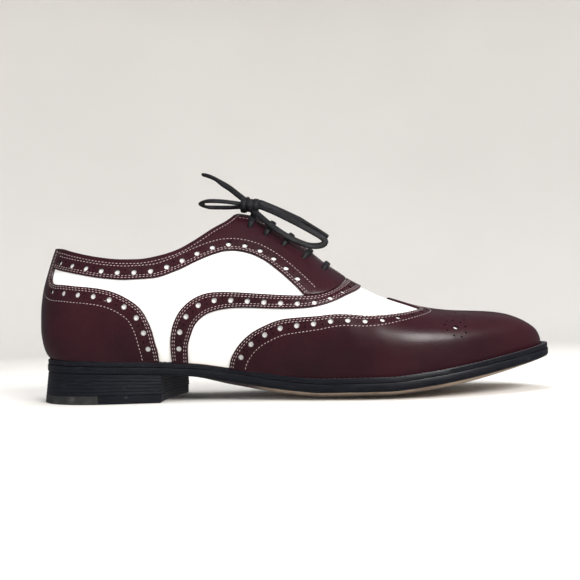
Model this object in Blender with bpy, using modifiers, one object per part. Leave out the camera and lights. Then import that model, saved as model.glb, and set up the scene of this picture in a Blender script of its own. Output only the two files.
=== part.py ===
"""A right two-tone spectator shoe with a leather sole and a stacked heel.

Frame: +X from heel to toe, -Y the outer (lateral) side, +Z up, floor at z = 0.
The modelling frame starts at the back of the heel; the whole shoe hangs on one
empty that puts the origin under the heel's top piece.
"""
import math

import bmesh
import bpy
import numpy as np
from mathutils import Vector, geometry, kdtree

# Driving dimensions, metres
LAST_LENGTH = 0.304
LAST_BACK = -0.002
BALL_WIDTH = 0.098
INSTEP_HEIGHT = 0.111
HEEL_CURVE = 0.0055
TOE_LEAN = 0.0055

HEEL_LENGTH_LATERAL = 0.074
HEEL_LENGTH_MEDIAL = 0.082
BREAST_HOLLOW = 0.0025
TOP_PIECE = 0.0050
LIFT = 0.0043
LIFTS = 3
HEEL_FLARE = 0.0020
SEAT_INSET = 0.0004
RUBBER_JOINT_LATERAL = 0.037
RUBBER_JOINT_MEDIAL = 0.015

OUTSOLE = 0.0044
WELT = 0.0030
WELT_MARGIN = 0.0041
WELT_SEAT = 0.0032
WELT_STEP = 0.0004
TOE_SPRING = 0.0205
BALL_RISE = 0.0050
FLAT_SHARE = 0.40

WALL = 0.0018
OVERLAY = 0.0012
TONGUE = 0.0017
TONGUE_CLEARANCE = 0.0012
INSOLE_STEP = 0.0014
FACING_GAP = 0.0026
THROAT_END = 0.6118

LACE_WIDTH = 0.0042
LACE = 0.0014
LACE_ROUND = 0.0013
BAR_REACH = 0.0110

GAP = 0.0003
SEAM_GAP = 0.0004
UPPER_SEAT = 0.0006
REST_POINT = 0.045

STATIONS = 30
GIRTH_STEPS = 10
SOLE_STATIONS = 24
SOLE_STEPS = 8
OVERLAY_FOOT = 0.25
STATION_SPACING = 0.002

HEEL_STACK = TOP_PIECE + LIFTS * (LIFT + GAP)
LATERAL = -1
MEDIAL = 1

# The last, a row for each section. run is the share of LAST_LENGTH from the back.
# The widths are shares of BALL_WIDTH and the heights shares of INSTEP_HEIGHT.
# crown and shoulder are the powers of the rounded upper part of the section.
LAST_COLUMNS = ("run", "feather_lateral", "feather_medial", "side_lateral", "side_medial",
                "side_height", "ridge_height", "ridge_offset", "crown", "shoulder")
LAST = (
    (0.000, 0.000, 0.000, 0.000, 0.000, 0.180, 0.937, 0.000, 2.00, 2.00),
    (0.020, 0.153, 0.153, 0.184, 0.184, 0.180, 0.939, 0.000, 2.00, 2.00),
    (0.060, 0.250, 0.250, 0.284, 0.284, 0.180, 0.946, 0.000, 2.00, 2.00),
    (0.130, 0.306, 0.306, 0.340, 0.337, 0.180, 0.964, 0.000, 2.00, 2.00),
    (0.240, 0.304, 0.292, 0.341, 0.329, 0.180, 0.991, 0.005, 2.00, 2.00),
    (0.340, 0.316, 0.251, 0.347, 0.321, 0.171, 1.006, 0.015, 1.90, 2.05),
    (0.450, 0.369, 0.276, 0.394, 0.347, 0.162, 0.966, 0.031, 1.55, 2.00),
    (0.505, 0.406, 0.319, 0.430, 0.377, 0.158, 0.868, 0.037, 1.55, 2.05),
    (0.560, 0.444, 0.369, 0.469, 0.413, 0.153, 0.738, 0.041, 1.60, 2.10),
    (0.670, 0.500, 0.447, 0.523, 0.474, 0.135, 0.546, 0.046, 1.80, 2.30),
    (0.770, 0.478, 0.457, 0.500, 0.482, 0.117, 0.450, 0.046, 2.00, 2.50),
    (0.860, 0.380, 0.392, 0.400, 0.414, 0.099, 0.421, 0.043, 2.10, 2.60),
    (0.930, 0.261, 0.298, 0.278, 0.316, 0.086, 0.402, 0.039, 2.10, 2.60),
    (0.975, 0.150, 0.200, 0.162, 0.214, 0.072, 0.357, 0.034, 2.10, 2.50),
    (1.000, -0.031, 0.031, -0.031, 0.031, 0.054, 0.320, 0.031, 2.10, 2.40),
)
WIDTH_COLUMNS = ("feather_lateral", "feather_medial", "side_lateral", "side_medial")

# The back's curve over the share of the section's height, as a share of HEEL_CURVE
BACK_CURVE = ((0.00, 1.00), (0.05, 0.47), (0.13, 0.15), (0.23, 0.00), (0.36, 0.02),
              (0.51, 0.25), (0.69, 0.91), (0.86, 1.64), (1.00, 2.36))

# The sole's underside along its middle: run, share of the heel stack, share of the toe
# spring, share of the ball's edge rise, and the share of WELT_MARGIN that stands proud
SOLE = (
    (0.000, 1.000, 0.000, 0.00, 0.90),
    (0.050, 0.964, 0.000, 0.00, 0.62),
    (0.272, 0.805, 0.000, 0.00, 0.38),
    (0.310, 0.690, 0.000, 0.28, 0.30),
    (0.355, 0.500, 0.000, 0.62, 0.30),
    (0.400, 0.345, 0.000, 0.78, 0.35),
    (0.450, 0.190, 0.000, 0.86, 0.55),
    (0.500, 0.065, 0.000, 0.95, 0.75),
    (0.545, 0.000, 0.000, 1.00, 0.90),
    (0.660, 0.000, 0.000, 1.05, 1.05),
    (0.735, 0.000, 0.095, 1.10, 1.05),
    (0.810, 0.000, 0.265, 1.05, 1.05),
    (0.880, 0.000, 0.490, 0.85, 1.12),
    (0.945, 0.000, 0.745, 0.50, 1.25),
    (1.000, 0.000, 1.000, 0.00, 1.40),
)

# The row where the waist leaves the heel, which follows the heel's length
WAIST_START = 0.272
BALL_START = 0.545
BREAST_CLEARANCE = 0.0022

# The edge of the opening: run, height as a share of INSTEP_HEIGHT
TOPLINE = (
    (0.000, 0.838), (0.030, 0.829), (0.060, 0.809), (0.095, 0.787), (0.133, 0.767),
    (0.173, 0.754), (0.210, 0.752), (0.247, 0.767), (0.282, 0.795), (0.318, 0.849),
    (0.351, 0.911), (0.380, 0.961), (0.400, 1.020),
)

# Pattern lines on the last: run, share of the girth from the feather (0) to the ridge (1)
BAND_LOWER = (
    (0.010, 0.690), (0.029, 0.632), (0.060, 0.580), (0.093, 0.541), (0.139, 0.502),
    (0.189, 0.483), (0.237, 0.487), (0.284, 0.527), (0.320, 0.578), (0.354, 0.624),
    (0.380, 0.649), (0.402, 0.655), (0.425, 0.651), (0.450, 0.632), (0.486, 0.577),
    (0.520, 0.504), (0.540, 0.443),
)
STRAP_OUTER = (
    (0.272, -0.02), (0.271, 0.107), (0.275, 0.195), (0.288, 0.284), (0.320, 0.369),
    (0.355, 0.403), (0.426, 0.417), (0.473, 0.436), (0.520, 0.470), (0.555, 0.514),
    (0.587, 0.606), (0.605, 0.740), (0.613, 0.875), (0.6155, 1.000),
)
STRAP_INNER = (
    (0.303, -0.02), (0.304, 0.085), (0.311, 0.164), (0.321, 0.226), (0.343, 0.283),
    (0.379, 0.318), (0.426, 0.338), (0.473, 0.359), (0.519, 0.394), (0.554, 0.438),
    (0.589, 0.511), (0.619, 0.636), (0.635, 0.768), (0.642, 0.890), (0.644, 1.000),
)
COUNTER_LINE = (
    (0.248, -0.02), (0.246, 0.060), (0.242, 0.110), (0.238, 0.168), (0.229, 0.243),
    (0.215, 0.312), (0.185, 0.380), (0.154, 0.422), (0.121, 0.447), (0.089, 0.467),
    (0.062, 0.490), (0.044, 0.507), (0.031, 0.532), (0.0245, 0.575), (0.0228, 0.640),
    (0.0230, 0.740), (0.0250, 0.860),
)
WING_LINE = (
    (0.381, -0.02), (0.386, 0.050), (0.400, 0.124), (0.425, 0.202), (0.454, 0.260),
    (0.484, 0.307), (0.518, 0.340), (0.553, 0.371), (0.587, 0.398), (0.622, 0.409),
    (0.650, 0.415), (0.685, 0.452), (0.721, 0.520), (0.747, 0.640), (0.752, 0.720),
    (0.744, 0.790), (0.727, 0.860), (0.710, 0.930), (0.698, 1.000),
)
LACE_ROWS = (0.420, 0.458, 0.495, 0.532, 0.566)

# The bow in the modelling frame, metres, its points chosen by hand
KNOT_AT = (0.1268, -0.0046, 0.1169)
KNOT_SIZE = (0.0066, 0.0044, 0.0040)
LACE_ROUTES = {
    "lace_loop_rear": (
        (0.1204, -0.0064, 0.1180), (0.1160, -0.0080, 0.1186), (0.1105, -0.0100, 0.1191),
        (0.1060, -0.0112, 0.1193), (0.1015, -0.0112, 0.1194), (0.0985, -0.0092, 0.1192),
        (0.0972, -0.0050, 0.1187), (0.0978, -0.0006, 0.1180), (0.1007, 0.0018, 0.1175),
        (0.1060, 0.0022, 0.1172), (0.1135, 0.0004, 0.1167), (0.1204, -0.0025, 0.1164),
    ),
    "lace_loop_front": (
        (0.1332, -0.0061, 0.1159), (0.1400, -0.0080, 0.1128), (0.1482, -0.0098, 0.1084),
        (0.1567, -0.0112, 0.1036), (0.1650, -0.0120, 0.0986), (0.1702, -0.0122, 0.0952),
        (0.1724, -0.0122, 0.0928), (0.1712, -0.0123, 0.0908), (0.1676, -0.0127, 0.0899),
        (0.1629, -0.0134, 0.0902), (0.1584, -0.0142, 0.0916), (0.1540, -0.0150, 0.0936),
        (0.1496, -0.0155, 0.0960), (0.1446, -0.0152, 0.0994), (0.1391, -0.0135, 0.1038),
        (0.1345, -0.0108, 0.1082), (0.1297, -0.0071, 0.1131),
    ),
    "lace_end_rear": (
        (0.1230, -0.0040, 0.1211), (0.1188, -0.0020, 0.1248), (0.1145, 0.0004, 0.1286),
        (0.1096, 0.0028, 0.1322), (0.1050, 0.0047, 0.1356), (0.1003, 0.0064, 0.1380),
        (0.0965, 0.0076, 0.1392),
    ),
    "lace_end_front": (
        (0.1337, -0.0027, 0.1188), (0.1422, -0.0012, 0.1152), (0.1510, -0.0012, 0.1109),
        (0.1597, -0.0024, 0.1062), (0.1672, -0.0040, 0.1012), (0.1746, -0.0052, 0.0960),
    ),
}


def between(x, table, column):
    """Monotone cubic through a short table, flat outside it."""
    knots = np.array([row[0] for row in table], float)
    values = np.array([row[column] for row in table], float)
    step = np.diff(knots)
    slope = np.diff(values) / step
    tangent = np.zeros(len(knots))
    same_way = slope[:-1] * slope[1:] > 0
    weight = 2 * slope[:-1] * slope[1:]
    total = np.where(same_way, slope[:-1] + slope[1:], 1.0)
    tangent[1:-1] = np.where(same_way, weight / total, 0.0)
    tangent[0], tangent[-1] = slope[0], slope[-1]
    x = np.clip(np.asarray(x, float), knots[0], knots[-1])
    i = np.clip(np.searchsorted(knots, x) - 1, 0, len(step) - 1)
    s = (x - knots[i]) / step[i]
    rise = tangent[i] * step[i] * s * (1 - s) ** 2 - tangent[i + 1] * step[i] * s * s * (1 - s)
    return values[i] * (1 - s) ** 2 * (1 + 2 * s) + values[i + 1] * s * s * (3 - 2 * s) + rise


def natural_spline(knots, values, x):
    """Cubic spline with free ends through rows of values."""
    count = len(knots)
    step = np.diff(knots)[:, None]
    slope = np.diff(values, axis=0) / step
    matrix = np.eye(count)
    right = np.zeros_like(values)
    for i in range(1, count - 1):
        matrix[i, i - 1:i + 2] = step[i - 1, 0], 2 * (step[i - 1, 0] + step[i, 0]), step[i, 0]
        right[i] = 6 * (slope[i] - slope[i - 1])
    bend = np.linalg.solve(matrix, right)
    i = np.clip(np.searchsorted(knots, x) - 1, 0, count - 2)
    b = ((x - knots[i]) / step[i, 0])[:, None]
    a = 1 - b
    curve = ((a ** 3 - a) * bend[i] + (b ** 3 - b) * bend[i + 1]) * step[i] ** 2 / 6
    return a * values[i] + b * values[i + 1] + curve


def turn_of(run):
    """The angle, 0 at the back and pi at the tip, whose cosine gives the run."""
    return np.arccos(1 - 2 * np.asarray(run, float))


def run_of(turn):
    return (1 - np.cos(turn)) / 2


def last_columns(turn):
    """Every column of LAST at the given turns, with round ends."""
    table = np.array(LAST)
    turns = turn_of(table[:, 0])
    mirrored = 3
    back = table[1:mirrored + 1][::-1].copy()
    front = table[-mirrored - 1:-1][::-1].copy()
    for name in WIDTH_COLUMNS:
        column = LAST_COLUMNS.index(name)
        back[:, column] *= -1
        front[:, column] = 2 * table[-1, column] - front[:, column]
    rows = np.vstack([back, table, front])
    knots = np.concatenate([-turns[1:mirrored + 1][::-1], turns,
                            2 * math.pi - turns[-mirrored - 1:-1][::-1]])
    values = natural_spline(knots, rows[:, 1:], np.asarray(turn, float))
    return {name: values[:, i] for i, name in enumerate(LAST_COLUMNS[1:])}


# How far the back's curve reaches, as a run, and the toe's lean, as a turn
BACK_REACH = 0.22
TOE_REACH = 0.75


def end_falls(turn):
    """How strongly the back's curve and the toe's lean act at these turns."""
    back = np.clip(1 - run_of(turn) / BACK_REACH, 0, 1) ** 2
    toe = np.clip(1 - (math.pi - turn) / TOE_REACH, 0, 1) ** 2
    return back, toe


def feather_plan(turn, side):
    """The last's lower edge seen from above."""
    columns = last_columns(turn)
    name = "feather_lateral" if side == LATERAL else "feather_medial"
    back, _ = end_falls(turn)
    x = LAST_BACK + LAST_LENGTH * run_of(turn) + HEEL_CURVE * back
    return np.stack([x, side * BALL_WIDTH * columns[name]], -1)


def outward(turn, side):
    """Unit normals of the feather line in plan."""
    small = 1e-3
    inner = np.clip(turn, small, math.pi - small)
    along = feather_plan(inner + small, side) - feather_plan(inner - small, side)
    normal = np.stack([-along[:, 1], along[:, 0]], -1) * side
    normal /= np.linalg.norm(normal, axis=1)[:, None]
    normal[turn <= small] = (-1.0, 0.0)
    normal[turn >= math.pi - small] = (1.0, 0.0)
    return normal


def plan_line(turn, side, proud_share=1.0, offset=0.0):
    """A line beside the feather line: a share of the welt's margin, plus an offset."""
    turn = np.asarray(turn, float)
    margin = WELT_MARGIN * between(run_of(turn), SOLE, 4) * proud_share
    return feather_plan(turn, side) + (margin + offset)[:, None] * outward(turn, side)


DENSE = np.linspace(0, math.pi, 241)
EDGE = {side: plan_line(DENSE, side) for side in (LATERAL, MEDIAL)}


def edge_y(x, side):
    return np.interp(x, EDGE[side][:, 0], EDGE[side][:, 1])


SOLE_BACK = EDGE[LATERAL][0, 0]
SOLE_LENGTH = EDGE[LATERAL][-1, 0] - SOLE_BACK
HEEL_FRONT = max(HEEL_LENGTH_LATERAL, HEEL_LENGTH_MEDIAL) + BREAST_CLEARANCE
BREAST_RUN = (HEEL_FRONT - SOLE_BACK) / SOLE_LENGTH


def sole_run(x):
    """The run in SOLE's terms, with its waist starting at the heel's front."""
    run = (x - SOLE_BACK) / SOLE_LENGTH
    return np.interp(run, (0, BREAST_RUN, BALL_START, 1), (0, WAIST_START, BALL_START, 1))


def sole_under(x, y):
    """Height of the sole's underside over the floor."""
    x, y = np.asarray(x, float), np.asarray(y, float)
    run = sole_run(x)
    lateral, medial = edge_y(x, LATERAL), edge_y(x, MEDIAL)
    half = np.maximum((medial - lateral) / 2, 1e-4)
    across = np.clip(np.abs(y - (medial + lateral) / 2) / half, 0, 1)
    curl = np.clip((across - FLAT_SHARE) / (1 - FLAT_SHARE), 0, 1) ** 2
    spine = HEEL_STACK * between(run, SOLE, 1) + TOE_SPRING * between(run, SOLE, 2)
    return spine + BALL_RISE * between(run, SOLE, 3) * curl


def feather_height(turn, side):
    point = feather_plan(turn, side)
    return sole_under(point[:, 0], point[:, 1]) + OUTSOLE + WELT + GAP + UPPER_SEAT


# Points in a section, the share of them under its widest height, the powers of the
# lower side's bulge and of the toe's lean, and the turn where the lacing slit may start
SECTION_STEPS = 240
LOWER_SHARE = 0.3
SIDE_BULGE = 2.2
LEAN_POWER = 2.4
SLIT_FROM_TURN = 0.2


def sections(turn, side):
    """Points of each section from the feather line up to the ridge."""
    turn = np.asarray(turn, float)
    columns = last_columns(turn)
    tag = "lateral" if side == LATERAL else "medial"
    feather = side * BALL_WIDTH * columns["feather_" + tag][:, None]
    widest = side * BALL_WIDTH * columns["side_" + tag][:, None]
    low = feather_height(turn, side)[:, None]
    side_height = INSTEP_HEIGHT * columns["side_height"][:, None]
    high = INSTEP_HEIGHT * columns["ridge_height"][:, None]
    ridge = BALL_WIDTH * columns["ridge_offset"][:, None]
    lower_steps = int(SECTION_STEPS * LOWER_SHARE)
    rise = np.linspace(0, 1, lower_steps)[None, :]
    angle = np.linspace(0, math.pi / 2, SECTION_STEPS - lower_steps + 1)[None, 1:]
    y_low = widest - (widest - feather) * (1 - rise) ** SIDE_BULGE
    z_low = low + side_height * rise
    y_high = ridge + (widest - ridge) * np.cos(angle) ** (2 / columns["crown"][:, None])
    dome = (high - low - side_height) * np.sin(angle) ** (2 / columns["shoulder"][:, None])
    y = np.concatenate([y_low, y_high], 1)
    z = np.concatenate([z_low, low + side_height + dome], 1)
    y[:, -1] = ridge[:, 0]
    share = np.clip((z - low) / (high - low), 0, 1)
    back, toe = end_falls(turn)
    x = np.repeat((LAST_BACK + LAST_LENGTH * run_of(turn))[:, None], y.shape[1], 1)
    x = x + HEEL_CURVE * between(share, BACK_CURVE, 1) * back[:, None]
    x = x - TOE_LEAN * share ** LEAN_POWER * toe[:, None]
    return np.stack([x, y, z], -1)


def girth_shares(points):
    length = np.cumsum(np.linalg.norm(np.diff(points, axis=1), axis=2), 1)
    length = np.concatenate([np.zeros((len(points), 1)), length], 1)
    return length / length[:, -1:]


def at_shares(points, shares, wanted):
    """Points of each section at the wanted girth shares."""
    return np.array([[[np.interp(w, shares[i], points[i, :, k]) for k in range(3)]
                      for w in wanted[i]] for i in range(len(points))])


TOP_TURN = float(turn_of(TOPLINE[-1][0]))
THROAT_TURN = float(turn_of(THROAT_END))


def top_share(turn, side):
    """The girth share of the upper's edge: collar, lacing slit, then the ridge."""
    turn = np.asarray(turn, float)
    points = sections(turn, side)
    shares = girth_shares(points)
    heights = INSTEP_HEIGHT * between(run_of(turn), TOPLINE, 1)
    result = np.ones(len(turn))
    for i, angle in enumerate(turn):
        if angle > THROAT_TURN - 1e-6:
            continue
        ridge = points[i, -1, 1]
        slit = np.interp(FACING_GAP / 2, np.abs(points[i, ::-1, 1] - ridge), shares[i, ::-1])
        result[i] = slit if angle > SLIT_FROM_TURN else 1.0
        if angle < TOP_TURN:
            result[i] = min(result[i], np.interp(heights[i], points[i, :, 2], shares[i]))
    return result


# Runs that get a station of their own, and the least spacing of stations, as a turn
FINE_RUNS = (0.368, 0.385, 0.395, THROAT_END - 0.006)
TURN_SPACING = 0.02


def pick_turns():
    """Even turns, with the corners of the opening hit exactly and a denser front corner."""
    corners = [float(turn_of(run)) for run in FINE_RUNS]
    corners += [TOP_TURN, THROAT_TURN]
    even = np.linspace(0, math.pi, STATIONS + 1)
    kept = [t for t in even if min(abs(t - c) for c in corners) > TURN_SPACING]
    return np.array(sorted(kept + corners))


TURNS = pick_turns()
COUNT = len(TURNS)


class Skin:
    """One side of the last as a grid of stations and girth steps below the opening."""

    def __init__(self, side):
        self.side = side
        self.top = top_share(TURNS, side)
        points = sections(TURNS, side)
        shares = girth_shares(points)
        steps = np.linspace(0, 1, GIRTH_STEPS + 1)
        self.points = at_shares(points, shares, self.top[:, None] * steps[None, :])
        self.normals = np.zeros_like(self.points)

    def to_grid(self, run, girth):
        """Grid coordinates of a pattern point."""
        turn = float(turn_of(min(max(run, 0.0), 1.0)))
        station = float(np.interp(turn, TURNS, np.arange(COUNT)))
        top = float(np.interp(turn, TURNS, self.top))
        return Vector((station, girth / top * GIRTH_STEPS))

    def surface(self, at, lift):
        """The facet point at grid coordinates, lifted along the blended normals."""
        i = min(max(int(math.floor(at[0] + 1e-9)), 0), COUNT - 2)
        j = min(max(int(math.floor(at[1] + 1e-9)), 0), GIRTH_STEPS - 1)
        a, b = at[0] - i, at[1] - j
        if b <= a:
            corners = (i, j), (i + 1, j), (i + 1, j + 1)
            weights = 1 - a, a - b, b
        else:
            corners = (i, j), (i + 1, j + 1), (i, j + 1)
            weights = 1 - b, a, b - a
        point = sum(w * self.points[c] for w, c in zip(weights, corners))
        normal = sum(w * self.normals[c] for w, c in zip(weights, corners))
        return Vector(point + lift * normal / np.linalg.norm(normal))


SKINS = {side: Skin(side) for side in (LATERAL, MEDIAL)}


def add_grid(mesh, skin, columns, rows):
    """Facets of one side, split the same way everywhere."""
    corner = {(i, j): mesh.verts.new(skin.points[i, j]) for i in columns for j in rows}
    for i in columns[:-1]:
        for j in rows[:-1]:
            quad = [corner[i, j], corner[i + 1, j], corner[i + 1, j + 1], corner[i, j + 1]]
            order = (0, 1, 2), (0, 2, 3)
            for triangle in order:
                face = [quad[k] for k in triangle]
                mesh.faces.new(face if skin.side == LATERAL else face[::-1])
    return corner


def skin_mesh():
    """Both sides of the outer skin, sewn at the back, toe and ridge."""
    mesh = bmesh.new()
    for skin in SKINS.values():
        add_grid(mesh, skin, range(COUNT), range(GIRTH_STEPS + 1))
    bmesh.ops.remove_doubles(mesh, verts=mesh.verts, dist=1e-6)
    bmesh.ops.dissolve_degenerate(mesh, edges=mesh.edges, dist=1e-7)
    mesh.normal_update()
    return mesh


def read_normals():
    """Each grid point's normal on the sewn skin."""
    mesh = skin_mesh()
    corners = kdtree.KDTree(len(mesh.verts))
    for number, corner in enumerate(mesh.verts):
        corners.insert(corner.co, number)
    corners.balance()
    mesh.verts.ensure_lookup_table()
    for skin in SKINS.values():
        for i in range(COUNT):
            for j in range(GIRTH_STEPS + 1):
                nearest = corners.find(skin.points[i, j])[1]
                skin.normals[i, j] = mesh.verts[nearest].normal
    mesh.free()


# Materials and objects
def material(name, colour, roughness):
    made = bpy.data.materials.new(name)
    made.use_nodes = True
    shader = made.node_tree.nodes["Principled BSDF"]
    shader.inputs["Base Color"].default_value = (*colour, 1)
    shader.inputs["Roughness"].default_value = roughness
    made.diffuse_color = (*colour, 1)
    return made


for old in list(bpy.data.objects):
    bpy.data.objects.remove(old)

SHOE = bpy.data.collections.new("spectator_shoe")
bpy.context.scene.collection.children.link(SHOE)
WHITE_LEATHER = material("white_leather", (0.86, 0.86, 0.85), 0.35)
DARK_LEATHER = material("burgundy_leather", (0.045, 0.018, 0.022), 0.3)
SOLE_EDGE = material("blacked_sole_leather", (0.012, 0.012, 0.016), 0.3)
SOLE_LEATHER = material("sole_leather", (0.42, 0.30, 0.20), 0.6)
RUBBER = material("black_rubber", (0.02, 0.02, 0.02), 0.6)
LINING = material("sock_leather", (0.55, 0.42, 0.30), 0.6)
LACE_COTTON = material("waxed_cotton", (0.02, 0.02, 0.024), 0.7)

ORIGIN = bpy.data.objects.new("shoe_origin", None)
ORIGIN.location = (-REST_POINT, 0, 0)
SHOE.objects.link(ORIGIN)


def put(name, data, look):
    piece = bpy.data.objects.new(name, data)
    piece.parent = ORIGIN
    data.materials.append(look)
    SHOE.objects.link(piece)
    return piece


def put_mesh(name, mesh, look):
    data = bpy.data.meshes.new(name)
    mesh.to_mesh(data)
    mesh.free()
    return put(name, data, look)


def thicken(piece, thickness, outwards):
    shell = piece.modifiers.new("thickness", "SOLIDIFY")
    shell.thickness = thickness
    shell.offset = 1 if outwards else -1
    shell.use_rim = True
    shell.use_quality_normals = True
    return piece


# Sole, welt and heel
def surface_rows(rows, height, hollow=None):
    """An open surface through rows of plan points, sewn where rows shrink to a point."""
    mesh = bmesh.new()
    made = [[mesh.verts.new((p[0], p[1], height(p[0], p[1]))) for p in row] for row in rows]
    for low, high in zip(made, made[1:]):
        for k in range(len(low) - 1):
            if k != hollow:
                mesh.faces.new((low[k], high[k], high[k + 1], low[k + 1]))
    bmesh.ops.remove_doubles(mesh, verts=mesh.verts, dist=1e-6)
    bmesh.ops.dissolve_degenerate(mesh, edges=mesh.edges, dist=1e-7)
    return mesh


def raised(mesh, thickness):
    """A closed slab of even upright thickness over an open surface."""
    result = bmesh.ops.extrude_face_region(mesh, geom=mesh.faces[:])
    top = [item for item in result["geom"] if isinstance(item, bmesh.types.BMVert)]
    bmesh.ops.translate(mesh, vec=(0, 0, thickness), verts=top)
    bmesh.ops.recalc_face_normals(mesh, faces=mesh.faces)
    return mesh


def inside_feather(turns, side, inset):
    return feather_plan(turns, side) - inset * outward(turns, side)


SIDES = (LATERAL, MEDIAL)
WELT_OUTER = {side: plan_line(DENSE, side, offset=-WELT_STEP) for side in SIDES}
WELT_INNER = {side: inside_feather(DENSE, side, WELT_SEAT) for side in SIDES}
INSOLE_EDGE = {side: inside_feather(DENSE, side, WELT_SEAT + SEAM_GAP + GAP) for side in SIDES}


def sole_stations():
    """Crosswise lines that every layer of the sole shares, so that their facets match."""
    fixed = [HEEL_FRONT, SOLE_BACK + BALL_START * SOLE_LENGTH]
    for line in (EDGE, WELT_OUTER, WELT_INNER, INSOLE_EDGE):
        fixed += [line[LATERAL][0, 0], line[LATERAL][-1, 0]]
    even = SOLE_BACK + SOLE_LENGTH * run_of(np.linspace(0, math.pi, SOLE_STATIONS + 1))
    kept = [x for x in even if min(abs(x - f) for f in fixed) > STATION_SPACING]
    return sorted(kept + fixed)


def stations_in(line):
    back, front = line[LATERAL][0, 0], line[LATERAL][-1, 0]
    return [x for x in sole_stations() if back <= x <= front]


def line_y(line, side, x):
    return float(np.interp(x, line[side][:, 0], line[side][:, 1]))


def layer_rows(line, steps):
    """Rows of plan points across a layer with a full outline."""
    shares = (1 - np.cos(np.linspace(0, math.pi, steps + 1))) / 2
    rows = []
    for x in stations_in(line):
        lateral, medial = line_y(line, LATERAL, x), line_y(line, MEDIAL, x)
        rows.append([(x, lateral * (1 - s) + medial * s) for s in shares])
    return rows


def make_outsole():
    mesh = surface_rows(layer_rows(EDGE, SOLE_STEPS), lambda x, y: float(sole_under(x, y)))
    put_mesh("outsole", raised(mesh, OUTSOLE), SOLE_EDGE)


def over_outsole(x, y):
    return float(sole_under(x, y)) + OUTSOLE + GAP


def make_welt():
    """A ring from just inside the sole's edge to under the upper's wall."""
    rows = []
    hollow_back, hollow_front = WELT_INNER[LATERAL][0, 0], WELT_INNER[LATERAL][-1, 0]
    for x in stations_in(WELT_OUTER):
        outer = [line_y(WELT_OUTER, side, x) for side in SIDES]
        inner = [line_y(WELT_INNER, side, x) for side in SIDES]
        if not hollow_back < x < hollow_front:
            inner = [sum(outer) / 2] * 2
        rows.append([(x, y) for y in (outer[0], (outer[0] + inner[0]) / 2, inner[0],
                                      inner[1], (outer[1] + inner[1]) / 2, outer[1])])
    mesh = surface_rows(rows, over_outsole, hollow=2)
    put_mesh("welt", raised(mesh, WELT), SOLE_EDGE)


def make_insole():
    """Lies on the outsole inside the welt and stands a little over it."""
    mesh = surface_rows(layer_rows(INSOLE_EDGE, SOLE_STEPS - 2), over_outsole)
    put_mesh("insole", raised(mesh, WELT + INSOLE_STEP), LINING)


HEEL_POINTS = 15


def heel_side(side, front, inset, back=None):
    """One side of the heel's outline from the back, or from a joint, to the front."""
    start = EDGE[side][0, 0] if back is None else back
    shares = (1 - np.cos(np.linspace(0, math.pi / 2, HEEL_POINTS)))
    x = start + (front - start) * shares
    if back is None:
        middle = (front + start) / 2
        y = edge_y(x, side) - side * inset
        y = side * np.maximum(side * y, 0)
        x = x + np.where(x < middle, inset, 0) * np.clip((middle - x) / (middle - start), 0, 1)
        y[0] = 0.0
    else:
        x = np.linspace(start, front, HEEL_POINTS)
        y = edge_y(x, side) - side * inset
    return np.stack([x, y], -1)


def breast_points(lateral, medial):
    """The hollow front of the heel between its two corners, lateral to medial."""
    shares = np.linspace(0, 1, 9)[1:-1]
    line = lateral[None] * (1 - shares[:, None]) + medial[None] * shares[:, None]
    line[:, 0] -= BREAST_HOLLOW * np.sin(math.pi * shares)
    return line


def heel_outline(inset):
    lateral = heel_side(LATERAL, HEEL_LENGTH_LATERAL, inset)
    medial = heel_side(MEDIAL, HEEL_LENGTH_MEDIAL, inset)
    return np.vstack([lateral, breast_points(lateral[-1], medial[-1]), medial[::-1][:-1]])


def flat_piece(name, outline, low, thickness, look):
    curve = bpy.data.curves.new(name, "CURVE")
    curve.dimensions = "2D"
    curve.fill_mode = "BOTH"
    curve.extrude = thickness / 2
    spline = curve.splines.new("POLY")
    spline.points.add(len(outline) - 1)
    for point, (x, y) in zip(spline.points, outline):
        point.co = (x, y, 0, 1)
    spline.use_cyclic_u = True
    piece = put(name, curve, look)
    piece.location = (0, 0, low + thickness / 2)
    return piece


def heel_inset(height):
    """The block narrows from the floor up to the seat."""
    return SEAT_INSET - HEEL_FLARE * (1 - height / HEEL_STACK)


def sloped(piece):
    """A lift turned to slope with the seat, the more so the higher it lies."""
    bpy.context.view_layer.update()
    mesh = bmesh.new()
    mesh.from_mesh(bpy.data.meshes.new_from_object(
        piece.evaluated_get(bpy.context.evaluated_depsgraph_get())))
    mesh.transform(piece.matrix_basis)
    name = piece.name
    bpy.data.objects.remove(piece)
    bmesh.ops.remove_doubles(mesh, verts=mesh.verts, dist=1e-6)
    for vert in mesh.verts:
        seat = sole_under(vert.co.x, 0.0)
        share = (vert.co.z - TOP_PIECE) / (HEEL_STACK - TOP_PIECE)
        vert.co.z = TOP_PIECE + share * (seat - TOP_PIECE)
    mesh.normal_update()
    return put_mesh(name, mesh, SOLE_EDGE)


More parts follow.
